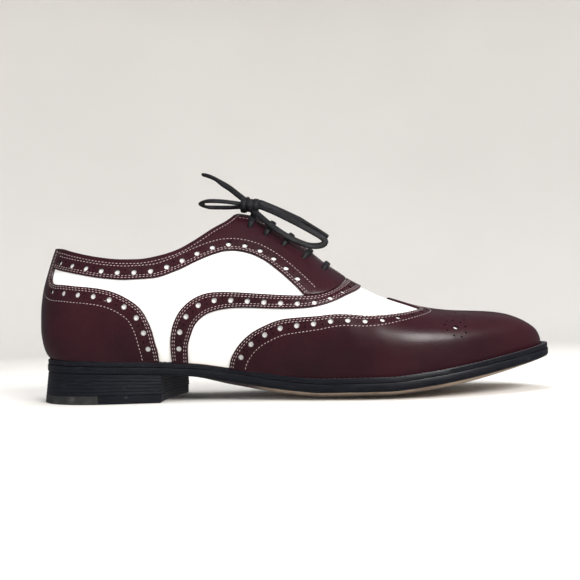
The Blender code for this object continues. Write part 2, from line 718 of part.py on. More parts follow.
def make_heel():
    for k in range(LIFTS):
        low = TOP_PIECE + GAP + k * (LIFT + GAP)
        outline = heel_outline(heel_inset(low + LIFT / 2))
        thickness = LIFT - (GAP if k == LIFTS - 1 else 0)
        sloped(flat_piece("heel_lift_%d" % (k + 1), outline, low, thickness, SOLE_EDGE))
    inset = heel_inset(TOP_PIECE / 2)
    rear_lateral = heel_side(LATERAL, RUBBER_JOINT_LATERAL, inset)
    rear_medial = heel_side(MEDIAL, RUBBER_JOINT_MEDIAL, inset)
    flat_piece("top_piece_rubber", np.vstack([rear_lateral, rear_medial[::-1][:-1]]),
               0.0, TOP_PIECE, RUBBER)
    lateral = heel_side(LATERAL, HEEL_LENGTH_LATERAL, inset, RUBBER_JOINT_LATERAL + SEAM_GAP)
    medial = heel_side(MEDIAL, HEEL_LENGTH_MEDIAL, inset, RUBBER_JOINT_MEDIAL + SEAM_GAP)
    front = np.vstack([lateral, breast_points(lateral[-1], medial[-1]), medial[::-1]])
    flat_piece("top_piece_leather", front, 0.0, TOP_PIECE, SOLE_LEATHER)


# Upper and its overlays
def make_upper():
    return thicken(put_mesh("upper", skin_mesh(), WHITE_LEATHER), WALL, False)


def line_on(skin, line):
    """A smooth pattern line in grid coordinates."""
    parameter = np.linspace(0, len(line) - 1, 2 * len(line) - 1)
    table = [(i, run, girth) for i, (run, girth) in enumerate(line)]
    runs, girths = between(parameter, table, 1), between(parameter, table, 2)
    return trimmed([skin.to_grid(run, girth) for run, girth in zip(runs, girths)])


def trimmed(points):
    """The part of a line between the overlays' foot and the opening, cut at both."""
    kept = []
    for a, b in zip(points, points[1:]):
        for limit in (OVERLAY_FOOT, float(GIRTH_STEPS)):
            if (a[1] - limit) * (b[1] - limit) < 0:
                share = (limit - a[1]) / (b[1] - a[1])
                kept.append(Vector((a[0] + (b[0] - a[0]) * share, limit)))
        if OVERLAY_FOOT < b[1] < GIRTH_STEPS:
            kept.append(b)
    if OVERLAY_FOOT < points[0][1] < GIRTH_STEPS:
        kept.insert(0, points[0])
    if abs(points[-1][1] - GIRTH_STEPS) < 1e-6:
        kept.append(points[-1])
    return kept


def anticlockwise(outline):
    turned = zip(outline, outline[1:] + outline[:1])
    area = sum(a[0] * b[1] - a[1] * b[0] for a, b in turned)
    return list(outline) if area > 0 else list(outline)[::-1]


def patch(mesh, skin, outline, lift):
    """The facets of the skin inside an outline, split along it."""
    columns = range(max(int(min(p[0] for p in outline)) - 1, 0),
                    min(int(max(p[0] for p in outline)) + 3, COUNT))
    points = anticlockwise(outline)
    edges = []
    numbers = {}
    for i in columns:
        for j in range(GIRTH_STEPS + 1):
            numbers[i, j] = len(points)
            points.append(Vector((i, j)))
    for i in columns:
        for j in range(GIRTH_STEPS + 1):
            for other in ((i + 1, j), (i, j + 1), (i + 1, j + 1)):
                if other in numbers:
                    edges.append((numbers[i, j], numbers[other]))
    face = [tuple(range(len(outline)))]
    result = geometry.delaunay_2d_cdt(points, edges, face, 0, 2e-3)
    corners = {}
    for triangle, origin in zip(result[2], result[5]):
        if not origin:
            continue
        made = []
        for k in triangle:
            if k not in corners:
                corners[k] = mesh.verts.new(skin.surface(result[0][k], lift))
            made.append(corners[k])
        mesh.faces.new(made if skin.side == LATERAL else made[::-1])


def make_overlay(name, outline_of, sides=(LATERAL, MEDIAL), look=DARK_LEATHER):
    mesh = bmesh.new()
    for side in sides:
        patch(mesh, SKINS[side], outline_of(SKINS[side]), GAP)
    bmesh.ops.remove_doubles(mesh, verts=mesh.verts, dist=3e-5)
    bmesh.ops.dissolve_degenerate(mesh, edges=mesh.edges, dist=1e-5)
    mesh.normal_update()
    return thicken(put_mesh(name, mesh, look), OVERLAY, True)


def counter_outline(skin):
    line = line_on(skin, COUNTER_LINE)
    return [Vector((0, OVERLAY_FOOT))] + line + [Vector((0, GIRTH_STEPS))]


def wing_outline(skin):
    tip = [Vector((COUNT - 1, OVERLAY_FOOT)), Vector((COUNT - 1, GIRTH_STEPS))]
    return tip + line_on(skin, WING_LINE)[::-1]


def strap_outline(skin):
    return line_on(skin, STRAP_OUTER) + line_on(skin, STRAP_INNER)[::-1]


def shifted(skin, line, run_shift, girth_shift):
    return line_on(skin, [(run + run_shift, girth + girth_shift) for run, girth in line])


# The band's clearances: run beside the back strip, girth share over the strap, and the
# least spacing of its outline's points, in grid units
STRIP_ROWS = 4
STRIP_CLEAR_RUN = 0.0022
STRAP_CLEAR_SHARE = 0.010
CORNER_SPACING = 0.05


def band_outline(skin):
    """Collar and facing in one piece, from the back strip to the throat."""
    top = float(GIRTH_STEPS)
    clear_run = 2 * SEAM_GAP / LAST_LENGTH
    strip_line = COUNTER_LINE[-STRIP_ROWS:]
    strip = [p for p in shifted(skin, strip_line, STRIP_CLEAR_RUN, 0) if p[1] < top]
    lower = [p for p in line_on(skin, BAND_LOWER) if p[0] > strip[0][0] + 6 * CORNER_SPACING]
    strap = shifted(skin, STRAP_OUTER, -clear_run, STRAP_CLEAR_SHARE)
    throat = float(np.interp(THROAT_TURN, TURNS, np.arange(COUNT)))
    meet = crossing(lower, strap)
    lower = [p for p in lower if p[0] < meet[0] - CORNER_SPACING]
    strap = [p for p in strap if meet[0] + CORNER_SPACING < p[0] < throat and meet[1] < p[1] < top]
    strip_low = [p for p in strip if p[1] > lower[0][1] + 2 * CORNER_SPACING]
    edge = [Vector((strap[-1][0], top)), Vector((strip[-1][0], top))]
    return lower + [meet] + strap + edge + strip_low[::-1]


def crossing(one, other):
    """Where two lines on the grid meet, searched from the end of the first."""
    for a, b in reversed(list(zip(one, one[1:]))):
        for c, d in zip(other, other[1:]):
            hit = geometry.intersect_line_line_2d(a, b, c, d)
            if hit:
                return hit
    return one[-1]


# The tongue, a row for each section: run, half width, and how far its end bends inwards
TONGUE_SHAPE = ((0.350, 0.012, 0.0060), (0.375, 0.022, 0.0035), (0.410, 0.023, 0.0),
                (0.450, 0.025, 0.0), (0.606, 0.017, 0.0))
TONGUE_STATIONS = 13
TONGUE_STEPS = 3


# Tongue and laces
def across_ridge(turn, reach, steps):
    """Points of one section at even distances from the ridge, lateral to medial."""
    row = []
    for side in SIDES:
        points = sections([turn], side)[0][::-1]
        length = np.cumsum(np.linalg.norm(np.diff(points, axis=0), axis=1))
        length = np.concatenate([[0], length])
        distances = [reach * k / steps for k in range(steps, -1, -1)]
        if side == MEDIAL:
            distances = distances[-2::-1]
        for distance in distances:
            row.append([float(np.interp(distance, length, points[:, c])) for c in range(3)])
    return row


def tongue_rows():
    columns = [np.array(column) for column in zip(*TONGUE_SHAPE)]
    turns = np.linspace(*[float(turn_of(run)) for run in columns[0][[0, -1]]], TONGUE_STATIONS)
    rows = []
    for turn in turns:
        run = float(run_of(turn))
        reach = float(np.interp(run, columns[0], columns[1]))
        sink = WALL + TONGUE_CLEARANCE + float(np.interp(run, columns[0], columns[2]))
        rows.append([(point, sink) for point in across_ridge(turn, reach, TONGUE_STEPS)])
    return rows


def make_tongue():
    mesh = bmesh.new()
    rows = tongue_rows()
    made = [[mesh.verts.new(p) for p, _ in row] for row in rows]
    for low, high in zip(made, made[1:]):
        for k in range(len(low) - 1):
            mesh.faces.new((low[k], high[k], high[k + 1], low[k + 1]))
    mesh.normal_update()
    moves = [(v, v.co - v.normal * s) for vs, row in zip(made, rows) for v, (_, s) in zip(vs, row)]
    for vertex, place in moves:
        vertex.co = place
    mesh.normal_update()
    return thicken(put_mesh("tongue", mesh, DARK_LEATHER), TONGUE, False)


def ridge_strip(run, reach, width, lift, steps):
    """An open strip across the ridge, raised over the facings."""
    rows = []
    for shift in (-width / 2, width / 2):
        turn = float(turn_of(run + shift / LAST_LENGTH))
        rows.append([Vector(point) for point in across_ridge(turn, reach, steps)])
    mesh = bmesh.new()
    made = [[mesh.verts.new(p) for p in row] for row in rows]
    for k in range(len(made[0]) - 1):
        mesh.faces.new((made[0][k], made[1][k], made[1][k + 1], made[0][k + 1]))
    mesh.normal_update()
    moves = [(v, v.co + v.normal * lift) for v in mesh.verts]
    for vertex, place in moves:
        vertex.co = place
    mesh.normal_update()
    return mesh


def make_lace_bars():
    lift = OVERLAY + 3 * GAP
    for k, run in enumerate(LACE_ROWS):
        mesh = ridge_strip(run, BAR_REACH, LACE_WIDTH, lift, 4)
        thicken(put_mesh("lace_bar_%d" % (k + 1), mesh, LACE_COTTON), LACE, True)


def smooth_route(points, spacing):
    """Even points along a Catmull-Rom curve through a route."""
    ends = [2 * Vector(points[0]) - Vector(points[1])]
    ends += [Vector(p) for p in points] + [2 * Vector(points[-1]) - Vector(points[-2])]
    fine = []
    for a, b, c, d in zip(ends, ends[1:], ends[2:], ends[3:]):
        for k in range(12):
            t = k / 12
            fine.append(0.5 * (2 * b + (c - a) * t + (2 * a - 5 * b + 4 * c - d) * t ** 2
                               + (3 * b - a - 3 * c + d) * t ** 3))
    fine.append(ends[-2])
    fine = np.array(fine)
    length = np.cumsum(np.linalg.norm(np.diff(fine, axis=0), axis=1))
    length = np.concatenate([[0], length])
    count = max(int(length[-1] / spacing), 4)
    wanted = np.linspace(0, length[-1], count + 1)
    return np.stack([np.interp(wanted, length, fine[:, c]) for c in range(3)], -1)


# The spacing of a lace's points, in diameters
POINT_SPACING = 2.4


def make_bow():
    for name, route in LACE_ROUTES.items():
        curve = bpy.data.curves.new(name, "CURVE")
        curve.dimensions = "3D"
        curve.bevel_depth = LACE_ROUND
        curve.bevel_resolution = 2
        curve.use_fill_caps = True
        points = smooth_route(route, POINT_SPACING * 2 * LACE_ROUND)
        spline = curve.splines.new("POLY")
        spline.points.add(len(points) - 1)
        for point, place in zip(spline.points, points):
            point.co = (*place, 1)
        put(name, curve, LACE_COTTON)
    mesh = bmesh.new()
    bmesh.ops.create_uvsphere(mesh, u_segments=14, v_segments=8, radius=1.0)
    bmesh.ops.scale(mesh, vec=KNOT_SIZE, verts=mesh.verts)
    knot = put_mesh("lace_knot", mesh, LACE_COTTON)
    knot.location = KNOT_AT


read_normals()
make_outsole()
make_welt()
make_insole()
make_heel()
make_upper()
make_overlay("heel_counter", counter_outline)
make_overlay("wing_cap", wing_outline)
make_overlay("vamp_strap", strap_outline)
make_overlay("facing_lateral", band_outline, (LATERAL,))
make_overlay("facing_medial", band_outline, (MEDIAL,))
make_tongue()
make_lace_bars()
make_bow()
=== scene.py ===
"""Looks of the spectator shoe: its skins, broguing, stitches, sole and laces.

Surfaces are worked out in the modelling frame, x from the heel's back, as the part's
own solids are, and put() moves them back to the frame's origin under the heel.
"""
import math

import bmesh
import bpy
import numpy as np
from mathutils import Matrix, Vector, geometry, kdtree


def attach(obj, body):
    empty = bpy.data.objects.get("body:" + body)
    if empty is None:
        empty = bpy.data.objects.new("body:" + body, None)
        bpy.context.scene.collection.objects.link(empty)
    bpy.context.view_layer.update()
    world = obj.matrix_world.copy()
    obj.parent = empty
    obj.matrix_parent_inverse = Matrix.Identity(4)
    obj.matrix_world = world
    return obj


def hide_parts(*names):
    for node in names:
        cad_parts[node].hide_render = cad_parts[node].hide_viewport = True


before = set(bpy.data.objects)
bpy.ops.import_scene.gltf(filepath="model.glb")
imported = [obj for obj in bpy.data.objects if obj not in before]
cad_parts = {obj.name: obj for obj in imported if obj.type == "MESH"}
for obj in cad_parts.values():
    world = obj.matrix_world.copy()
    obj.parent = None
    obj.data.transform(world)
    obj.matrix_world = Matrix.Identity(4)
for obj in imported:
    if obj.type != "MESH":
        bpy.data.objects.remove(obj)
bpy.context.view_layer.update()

# Driving dimensions, metres, as the part has them
LAST_LENGTH = 0.304
LAST_BACK = -0.002
BALL_WIDTH = 0.098
INSTEP_HEIGHT = 0.111
HEEL_CURVE = 0.0055
TOE_LEAN = 0.0055
HEEL_LENGTH_LATERAL = 0.074
HEEL_LENGTH_MEDIAL = 0.082
BREAST_HOLLOW = 0.0025
TOP_PIECE = 0.0050
LIFT = 0.0043
LIFTS = 3
HEEL_FLARE = 0.0020
SEAT_INSET = 0.0004
RUBBER_JOINT_LATERAL = 0.037
RUBBER_JOINT_MEDIAL = 0.015
OUTSOLE = 0.0044
WELT = 0.0030
WELT_MARGIN = 0.0041
WELT_SEAT = 0.0032
WELT_STEP = 0.0004
TOE_SPRING = 0.0205
BALL_RISE = 0.0050
FLAT_SHARE = 0.40
WALL = 0.0018
OVERLAY = 0.0012
TONGUE = 0.0017
TONGUE_CLEARANCE = 0.0012
INSOLE_STEP = 0.0014
FACING_GAP = 0.0026
THROAT_END = 0.6118
GAP = 0.0003
REST_POINT = 0.045
HEEL_STACK = TOP_PIECE + LIFTS * (LIFT + GAP)
LATERAL = -1
MEDIAL = 1
SIDES = (LATERAL, MEDIAL)

# The last, a row for each section. run is the share of LAST_LENGTH from the back.
# The widths are shares of BALL_WIDTH and the heights shares of INSTEP_HEIGHT.
LAST_COLUMNS = ("run", "feather_lateral", "feather_medial", "side_lateral", "side_medial",
                "side_height", "ridge_height", "ridge_offset", "crown", "shoulder")
LAST = (
    (0.000, 0.000, 0.000, 0.000, 0.000, 0.180, 0.937, 0.000, 2.00, 2.00),
    (0.020, 0.153, 0.153, 0.184, 0.184, 0.180, 0.939, 0.000, 2.00, 2.00),
    (0.060, 0.250, 0.250, 0.284, 0.284, 0.180, 0.946, 0.000, 2.00, 2.00),
    (0.130, 0.306, 0.306, 0.340, 0.337, 0.180, 0.964, 0.000, 2.00, 2.00),
    (0.240, 0.304, 0.292, 0.341, 0.329, 0.180, 0.991, 0.005, 2.00, 2.00),
    (0.340, 0.316, 0.251, 0.347, 0.321, 0.171, 1.006, 0.015, 1.90, 2.05),
    (0.450, 0.369, 0.276, 0.394, 0.347, 0.162, 0.966, 0.031, 1.55, 2.00),
    (0.505, 0.406, 0.319, 0.430, 0.377, 0.158, 0.868, 0.037, 1.55, 2.05),
    (0.560, 0.444, 0.369, 0.469, 0.413, 0.153, 0.738, 0.041, 1.60, 2.10),
    (0.670, 0.500, 0.447, 0.523, 0.474, 0.135, 0.546, 0.046, 1.80, 2.30),
    (0.770, 0.478, 0.457, 0.500, 0.482, 0.117, 0.450, 0.046, 2.00, 2.50),
    (0.860, 0.380, 0.392, 0.400, 0.414, 0.099, 0.421, 0.043, 2.10, 2.60),
    (0.930, 0.261, 0.298, 0.278, 0.316, 0.086, 0.402, 0.039, 2.10, 2.60),
    (0.975, 0.150, 0.200, 0.162, 0.214, 0.072, 0.357, 0.034, 2.10, 2.50),
    (1.000, -0.031, 0.031, -0.031, 0.031, 0.054, 0.320, 0.031, 2.10, 2.40),
)
WIDTH_COLUMNS = ("feather_lateral", "feather_medial", "side_lateral", "side_medial")

# The back's curve over the share of the section's height, as a share of HEEL_CURVE
BACK_CURVE = ((0.00, 1.00), (0.05, 0.47), (0.13, 0.15), (0.23, 0.00), (0.36, 0.02),
              (0.51, 0.25), (0.69, 0.91), (0.86, 1.64), (1.00, 2.36))

# The sole's underside: run, shares of the heel stack, toe spring and ball's edge rise,
# and the share of WELT_MARGIN that stands proud
SOLE = (
    (0.000, 1.000, 0.000, 0.00, 0.90),
    (0.050, 0.964, 0.000, 0.00, 0.62),
    (0.272, 0.805, 0.000, 0.00, 0.38),
    (0.310, 0.690, 0.000, 0.28, 0.30),
    (0.355, 0.500, 0.000, 0.62, 0.30),
    (0.400, 0.345, 0.000, 0.78, 0.35),
    (0.450, 0.190, 0.000, 0.86, 0.55),
    (0.500, 0.065, 0.000, 0.95, 0.75),
    (0.545, 0.000, 0.000, 1.00, 0.90),
    (0.660, 0.000, 0.000, 1.05, 1.05),
    (0.735, 0.000, 0.095, 1.10, 1.05),
    (0.810, 0.000, 0.265, 1.05, 1.05),
    (0.880, 0.000, 0.490, 0.85, 1.12),
    (0.945, 0.000, 0.745, 0.50, 1.25),
    (1.000, 0.000, 1.000, 0.00, 1.40),
)
WAIST_START = 0.272
BALL_START = 0.545
BREAST_CLEARANCE = 0.0022

# The edge of the opening: run, height as a share of INSTEP_HEIGHT
TOPLINE = (
    (0.000, 0.838), (0.030, 0.829), (0.060, 0.809), (0.095, 0.787), (0.133, 0.767),
    (0.173, 0.754), (0.210, 0.752), (0.247, 0.767), (0.282, 0.795), (0.318, 0.849),
    (0.351, 0.911), (0.380, 0.961), (0.400, 1.020),
)

# Pattern lines on the last: run, share of the girth from the feather (0) to the ridge (1)
BAND_LOWER = (
    (0.010, 0.690), (0.029, 0.632), (0.060, 0.580), (0.093, 0.541), (0.139, 0.502),
    (0.189, 0.483), (0.237, 0.487), (0.284, 0.527), (0.320, 0.578), (0.354, 0.624),
    (0.380, 0.649), (0.402, 0.655), (0.425, 0.651), (0.450, 0.632), (0.486, 0.577),
    (0.520, 0.504), (0.540, 0.443),
)
STRAP_OUTER = (
    (0.272, -0.02), (0.271, 0.107), (0.275, 0.195), (0.288, 0.284), (0.320, 0.369),
    (0.355, 0.403), (0.426, 0.417), (0.473, 0.436), (0.520, 0.470), (0.555, 0.514),
    (0.587, 0.606), (0.605, 0.740), (0.613, 0.875), (0.6155, 1.000),
)
STRAP_INNER = (
    (0.303, -0.02), (0.304, 0.085), (0.311, 0.164), (0.321, 0.226), (0.343, 0.283),
    (0.379, 0.318), (0.426, 0.338), (0.473, 0.359), (0.519, 0.394), (0.554, 0.438),
    (0.589, 0.511), (0.619, 0.636), (0.635, 0.768), (0.642, 0.890), (0.644, 1.000),
)
COUNTER_LINE = (
    (0.248, -0.02), (0.246, 0.060), (0.242, 0.110), (0.238, 0.168), (0.229, 0.243),
    (0.215, 0.312), (0.185, 0.380), (0.154, 0.422), (0.121, 0.447), (0.089, 0.467),
    (0.062, 0.490), (0.044, 0.507), (0.031, 0.532), (0.0245, 0.575), (0.0228, 0.640),
    (0.0230, 0.740), (0.0250, 0.860),
)
WING_LINE = (
    (0.381, -0.02), (0.386, 0.050), (0.400, 0.124), (0.425, 0.202), (0.454, 0.260),
    (0.484, 0.307), (0.518, 0.340), (0.553, 0.371), (0.587, 0.398), (0.622, 0.409),
    (0.650, 0.415), (0.685, 0.452), (0.721, 0.520), (0.747, 0.640), (0.752, 0.720),
    (0.744, 0.790), (0.727, 0.860), (0.710, 0.930), (0.698, 1.000),
)
LACE_ROWS = (0.420, 0.458, 0.495, 0.532, 0.566)

# The bow in the modelling frame, metres, its points listed
KNOT_AT = (0.1268, -0.0046, 0.1169)
KNOT_SIZE = (0.0066, 0.0044, 0.0040)
LACE_ROUTES = {
    "lace_loop_rear": (
        (0.1204, -0.0064, 0.1180), (0.1160, -0.0080, 0.1186), (0.1105, -0.0100, 0.1191),
        (0.1060, -0.0112, 0.1193), (0.1015, -0.0112, 0.1194), (0.0985, -0.0092, 0.1192),
        (0.0972, -0.0050, 0.1187), (0.0978, -0.0006, 0.1180), (0.1007, 0.0018, 0.1175),
        (0.1060, 0.0022, 0.1172), (0.1135, 0.0004, 0.1167), (0.1204, -0.0025, 0.1164),
    ),
    "lace_loop_front": (
        (0.1332, -0.0061, 0.1159), (0.1400, -0.0080, 0.1128), (0.1482, -0.0098, 0.1084),
        (0.1567, -0.0112, 0.1036), (0.1650, -0.0120, 0.0986), (0.1702, -0.0122, 0.0952),
        (0.1724, -0.0122, 0.0928), (0.1712, -0.0123, 0.0908), (0.1676, -0.0127, 0.0899),
        (0.1629, -0.0134, 0.0902), (0.1584, -0.0142, 0.0916), (0.1540, -0.0150, 0.0936),
        (0.1496, -0.0155, 0.0960), (0.1446, -0.0152, 0.0994), (0.1391, -0.0135, 0.1038),
        (0.1345, -0.0108, 0.1082), (0.1297, -0.0071, 0.1131),
    ),
    "lace_end_rear": (
        (0.1230, -0.0040, 0.1211), (0.1188, -0.0020, 0.1248), (0.1145, 0.0004, 0.1286),
        (0.1096, 0.0028, 0.1322), (0.1050, 0.0047, 0.1356), (0.1003, 0.0064, 0.1380),
        (0.0965, 0.0076, 0.1392),
    ),
    "lace_end_front": (
        (0.1337, -0.0027, 0.1188), (0.1422, -0.0012, 0.1152), (0.1510, -0.0012, 0.1109),
        (0.1597, -0.0024, 0.1062), (0.1672, -0.0040, 0.1012), (0.1746, -0.0052, 0.0960),
    ),
}

# Soft creases of the vamp, from the ridge out to both sides: run at the ridge, how the
# run changes towards the lateral side, its bow, depth and half width in metres
CREASES = (
    (0.612, 0.030, -0.020, 0.00035, 0.0040),
    (0.634, 0.024, -0.025, 0.00070, 0.0042),
    (0.664, 0.030, -0.030, 0.00045, 0.0046),
    (0.694, 0.026, -0.030, 0.00025, 0.0050),
)


def between(x, table, column):
    """Monotone cubic through a short table, flat outside it."""
    knots = np.array([row[0] for row in table], float)
    values = np.array([row[column] for row in table], float)
    step = np.diff(knots)
    slope = np.diff(values) / step
    tangent = np.zeros(len(knots))
    same_way = slope[:-1] * slope[1:] > 0
    weight = 2 * slope[:-1] * slope[1:]
    total = np.where(same_way, slope[:-1] + slope[1:], 1.0)
    tangent[1:-1] = np.where(same_way, weight / total, 0.0)
    tangent[0], tangent[-1] = slope[0], slope[-1]
    x = np.clip(np.asarray(x, float), knots[0], knots[-1])
    i = np.clip(np.searchsorted(knots, x) - 1, 0, len(step) - 1)
    s = (x - knots[i]) / step[i]
    rise = tangent[i] * step[i] * s * (1 - s) ** 2 - tangent[i + 1] * step[i] * s * s * (1 - s)
    return values[i] * (1 - s) ** 2 * (1 + 2 * s) + values[i + 1] * s * s * (3 - 2 * s) + rise


def natural_spline(knots, values, x):
    """Cubic spline with free ends through rows of values."""
    count = len(knots)
    step = np.diff(knots)[:, None]
    slope = np.diff(values, axis=0) / step
    matrix = np.eye(count)
    right = np.zeros_like(values)
    for i in range(1, count - 1):
        matrix[i, i - 1:i + 2] = step[i - 1, 0], 2 * (step[i - 1, 0] + step[i, 0]), step[i, 0]
        right[i] = 6 * (slope[i] - slope[i - 1])
    bend = np.linalg.solve(matrix, right)
    i = np.clip(np.searchsorted(knots, x) - 1, 0, count - 2)
    b = ((x - knots[i]) / step[i, 0])[:, None]
    a = 1 - b
    curve = ((a ** 3 - a) * bend[i] + (b ** 3 - b) * bend[i + 1]) * step[i] ** 2 / 6
    return a * values[i] + b * values[i + 1] + curve


def turn_of(run):
    """The angle, 0 at the back and pi at the tip, whose cosine gives the run."""
    return np.arccos(1 - 2 * np.asarray(run, float))


def run_of(turn):
    return (1 - np.cos(turn)) / 2


def last_columns(turn):
    """Every column of LAST at the given turns, with round ends."""
    table = np.array(LAST)
    turns = turn_of(table[:, 0])
    mirrored = 3
    back = table[1:mirrored + 1][::-1].copy()
    front = table[-mirrored - 1:-1][::-1].copy()
    for name in WIDTH_COLUMNS:
        column = LAST_COLUMNS.index(name)
        back[:, column] *= -1
        front[:, column] = 2 * table[-1, column] - front[:, column]
    rows = np.vstack([back, table, front])
    knots = np.concatenate([-turns[1:mirrored + 1][::-1], turns,
                            2 * math.pi - turns[-mirrored - 1:-1][::-1]])
    values = natural_spline(knots, rows[:, 1:], np.asarray(turn, float))
    return {name: values[:, i] for i, name in enumerate(LAST_COLUMNS[1:])}


# How far the back's curve reaches, as a run, and the toe's lean, as a turn
BACK_REACH = 0.22
TOE_REACH = 0.75


def end_falls(turn):
    """How strongly the back's curve and the toe's lean act at these turns."""
    back = np.clip(1 - run_of(turn) / BACK_REACH, 0, 1) ** 2
    toe = np.clip(1 - (math.pi - turn) / TOE_REACH, 0, 1) ** 2
    return back, toe


def feather_plan(turn, side):
    """The last's lower edge seen from above."""
    columns = last_columns(turn)
    name = "feather_lateral" if side == LATERAL else "feather_medial"
    back, _ = end_falls(turn)
    x = LAST_BACK + LAST_LENGTH * run_of(turn) + HEEL_CURVE * back
    return np.stack([x, side * BALL_WIDTH * columns[name]], -1)


def outward(turn, side):
    """Unit normals of the feather line in plan."""
    small = 1e-3
    inner = np.clip(turn, small, math.pi - small)
    along = feather_plan(inner + small, side) - feather_plan(inner - small, side)
    normal = np.stack([-along[:, 1], along[:, 0]], -1) * side
    normal /= np.linalg.norm(normal, axis=1)[:, None]
    normal[turn <= small] = (-1.0, 0.0)
    normal[turn >= math.pi - small] = (1.0, 0.0)
    return normal


def plan_line(turn, side, proud_share=1.0, offset=0.0):
    """A line beside the feather line: a share of the welt's margin, plus an offset."""
    turn = np.asarray(turn, float)
    margin = WELT_MARGIN * between(run_of(turn), SOLE, 4) * proud_share
    return feather_plan(turn, side) + (margin + offset)[:, None] * outward(turn, side)


DENSE = np.linspace(0, math.pi, 241)
EDGE = {side: plan_line(DENSE, side) for side in SIDES}


def edge_y(x, side):
    return np.interp(x, EDGE[side][:, 0], EDGE[side][:, 1])


SOLE_BACK = EDGE[LATERAL][0, 0]
SOLE_LENGTH = EDGE[LATERAL][-1, 0] - SOLE_BACK
HEEL_FRONT = max(HEEL_LENGTH_LATERAL, HEEL_LENGTH_MEDIAL) + BREAST_CLEARANCE
BREAST_RUN = (HEEL_FRONT - SOLE_BACK) / SOLE_LENGTH


def sole_run(x):
    """The run in SOLE's terms, with its waist starting at the heel's front."""
    run = (x - SOLE_BACK) / SOLE_LENGTH
    return np.interp(run, (0, BREAST_RUN, BALL_START, 1), (0, WAIST_START, BALL_START, 1))


def sole_under(x, y):
    """Height of the sole's underside over the floor."""
    x, y = np.asarray(x, float), np.asarray(y, float)
    run = sole_run(x)
    lateral, medial = edge_y(x, LATERAL), edge_y(x, MEDIAL)
    half = np.maximum((medial - lateral) / 2, 1e-4)
    across = np.clip(np.abs(y - (medial + lateral) / 2) / half, 0, 1)
    curl = np.clip((across - FLAT_SHARE) / (1 - FLAT_SHARE), 0, 1) ** 2
    spine = HEEL_STACK * between(run, SOLE, 1) + TOE_SPRING * between(run, SOLE, 2)
    return spine + BALL_RISE * between(run, SOLE, 3) * curl


# The visible upper runs down onto the welt, closer than the solids do
FEATHER_SEAT = 0.0001


def feather_height(turn, side):
    point = feather_plan(turn, side)
    return sole_under(point[:, 0], point[:, 1]) + OUTSOLE + GAP + WELT + FEATHER_SEAT


SECTION_STEPS = 240
LOWER_SHARE = 0.3
SIDE_BULGE = 2.2
LEAN_POWER = 2.4
SLIT_FROM_TURN = 0.2


def sections(turn, side):
    """Points of each section from the feather line up to the ridge."""
    turn = np.asarray(turn, float)
    columns = last_columns(turn)
    tag = "lateral" if side == LATERAL else "medial"
    feather = side * BALL_WIDTH * columns["feather_" + tag][:, None]
    widest = side * BALL_WIDTH * columns["side_" + tag][:, None]
    low = feather_height(turn, side)[:, None]
    side_height = INSTEP_HEIGHT * columns["side_height"][:, None]
    high = INSTEP_HEIGHT * columns["ridge_height"][:, None]
    ridge = BALL_WIDTH * columns["ridge_offset"][:, None]
    lower_steps = int(SECTION_STEPS * LOWER_SHARE)
    rise = np.linspace(0, 1, lower_steps)[None, :]
    angle = np.linspace(0, math.pi / 2, SECTION_STEPS - lower_steps + 1)[None, 1:]
    y_low = widest - (widest - feather) * (1 - rise) ** SIDE_BULGE
    z_low = low + side_height * rise
    y_high = ridge + (widest - ridge) * np.cos(angle) ** (2 / columns["crown"][:, None])
    dome = (high - low - side_height) * np.sin(angle) ** (2 / columns["shoulder"][:, None])
    y = np.concatenate([y_low, y_high], 1)
    z = np.concatenate([z_low, low + side_height + dome], 1)
    y[:, -1] = ridge[:, 0]
    share = np.clip((z - low) / (high - low), 0, 1)
    back, toe = end_falls(turn)
    x = np.repeat((LAST_BACK + LAST_LENGTH * run_of(turn))[:, None], y.shape[1], 1)
    x = x + HEEL_CURVE * between(share, BACK_CURVE, 1) * back[:, None]
    x = x - TOE_LEAN * share ** LEAN_POWER * toe[:, None]
    return np.stack([x, y, z], -1)


def girth_shares(points):
    length = np.cumsum(np.linalg.norm(np.diff(points, axis=1), axis=2), 1)
    length = np.concatenate([np.zeros((len(points), 1)), length], 1)
    return length / length[:, -1:]


TOP_TURN = float(turn_of(TOPLINE[-1][0]))
THROAT_TURN = float(turn_of(THROAT_END))


def top_share(turn, side):
    """The girth share of the upper's edge: collar, lacing slit, then the ridge."""
    turn = np.asarray(turn, float)
    points = sections(turn, side)
    shares = girth_shares(points)
    heights = INSTEP_HEIGHT * between(run_of(turn), TOPLINE, 1)
    result = np.ones(len(turn))
    for i, angle in enumerate(turn):
        if angle > THROAT_TURN - 1e-6:
            continue
        ridge = points[i, -1, 1]
        slit = np.interp(FACING_GAP / 2, np.abs(points[i, ::-1, 1] - ridge), shares[i, ::-1])
        result[i] = slit if angle > SLIT_FROM_TURN else 1.0
        if angle < TOP_TURN:
            result[i] = min(result[i], np.interp(heights[i], points[i, :, 2], shares[i]))
    return result


# The fine skin
GRID_TURNS = 361
GRID_SHARES = 181
STATIONS = 150
GIRTH_STEPS = 44


def crease_relief(turn, share, side):
    """Lift of the skin at its soft creases, in metres."""
    run = run_of(turn)[:, None]
    across = side * (1 - share)[None, :]
    relief = np.zeros((len(turn), len(share)))
    for ridge_run, slope, bow, depth, width in CREASES:
        centre = ridge_run - slope * across + bow * across ** 2
        s = (run - centre) * LAST_LENGTH / width
        fade = np.clip(1 - (np.abs(across) / 0.85) ** 2, 0, 1)
        relief -= depth * fade * (np.exp(-s ** 2) - 0.5 * np.exp(-((np.abs(s) - 1.9) / 1.0) ** 2))
    waves = np.sin(run * 41 + across * 5) * np.sin(across * 7 + run * 13)
    return relief + 0.00006 * waves


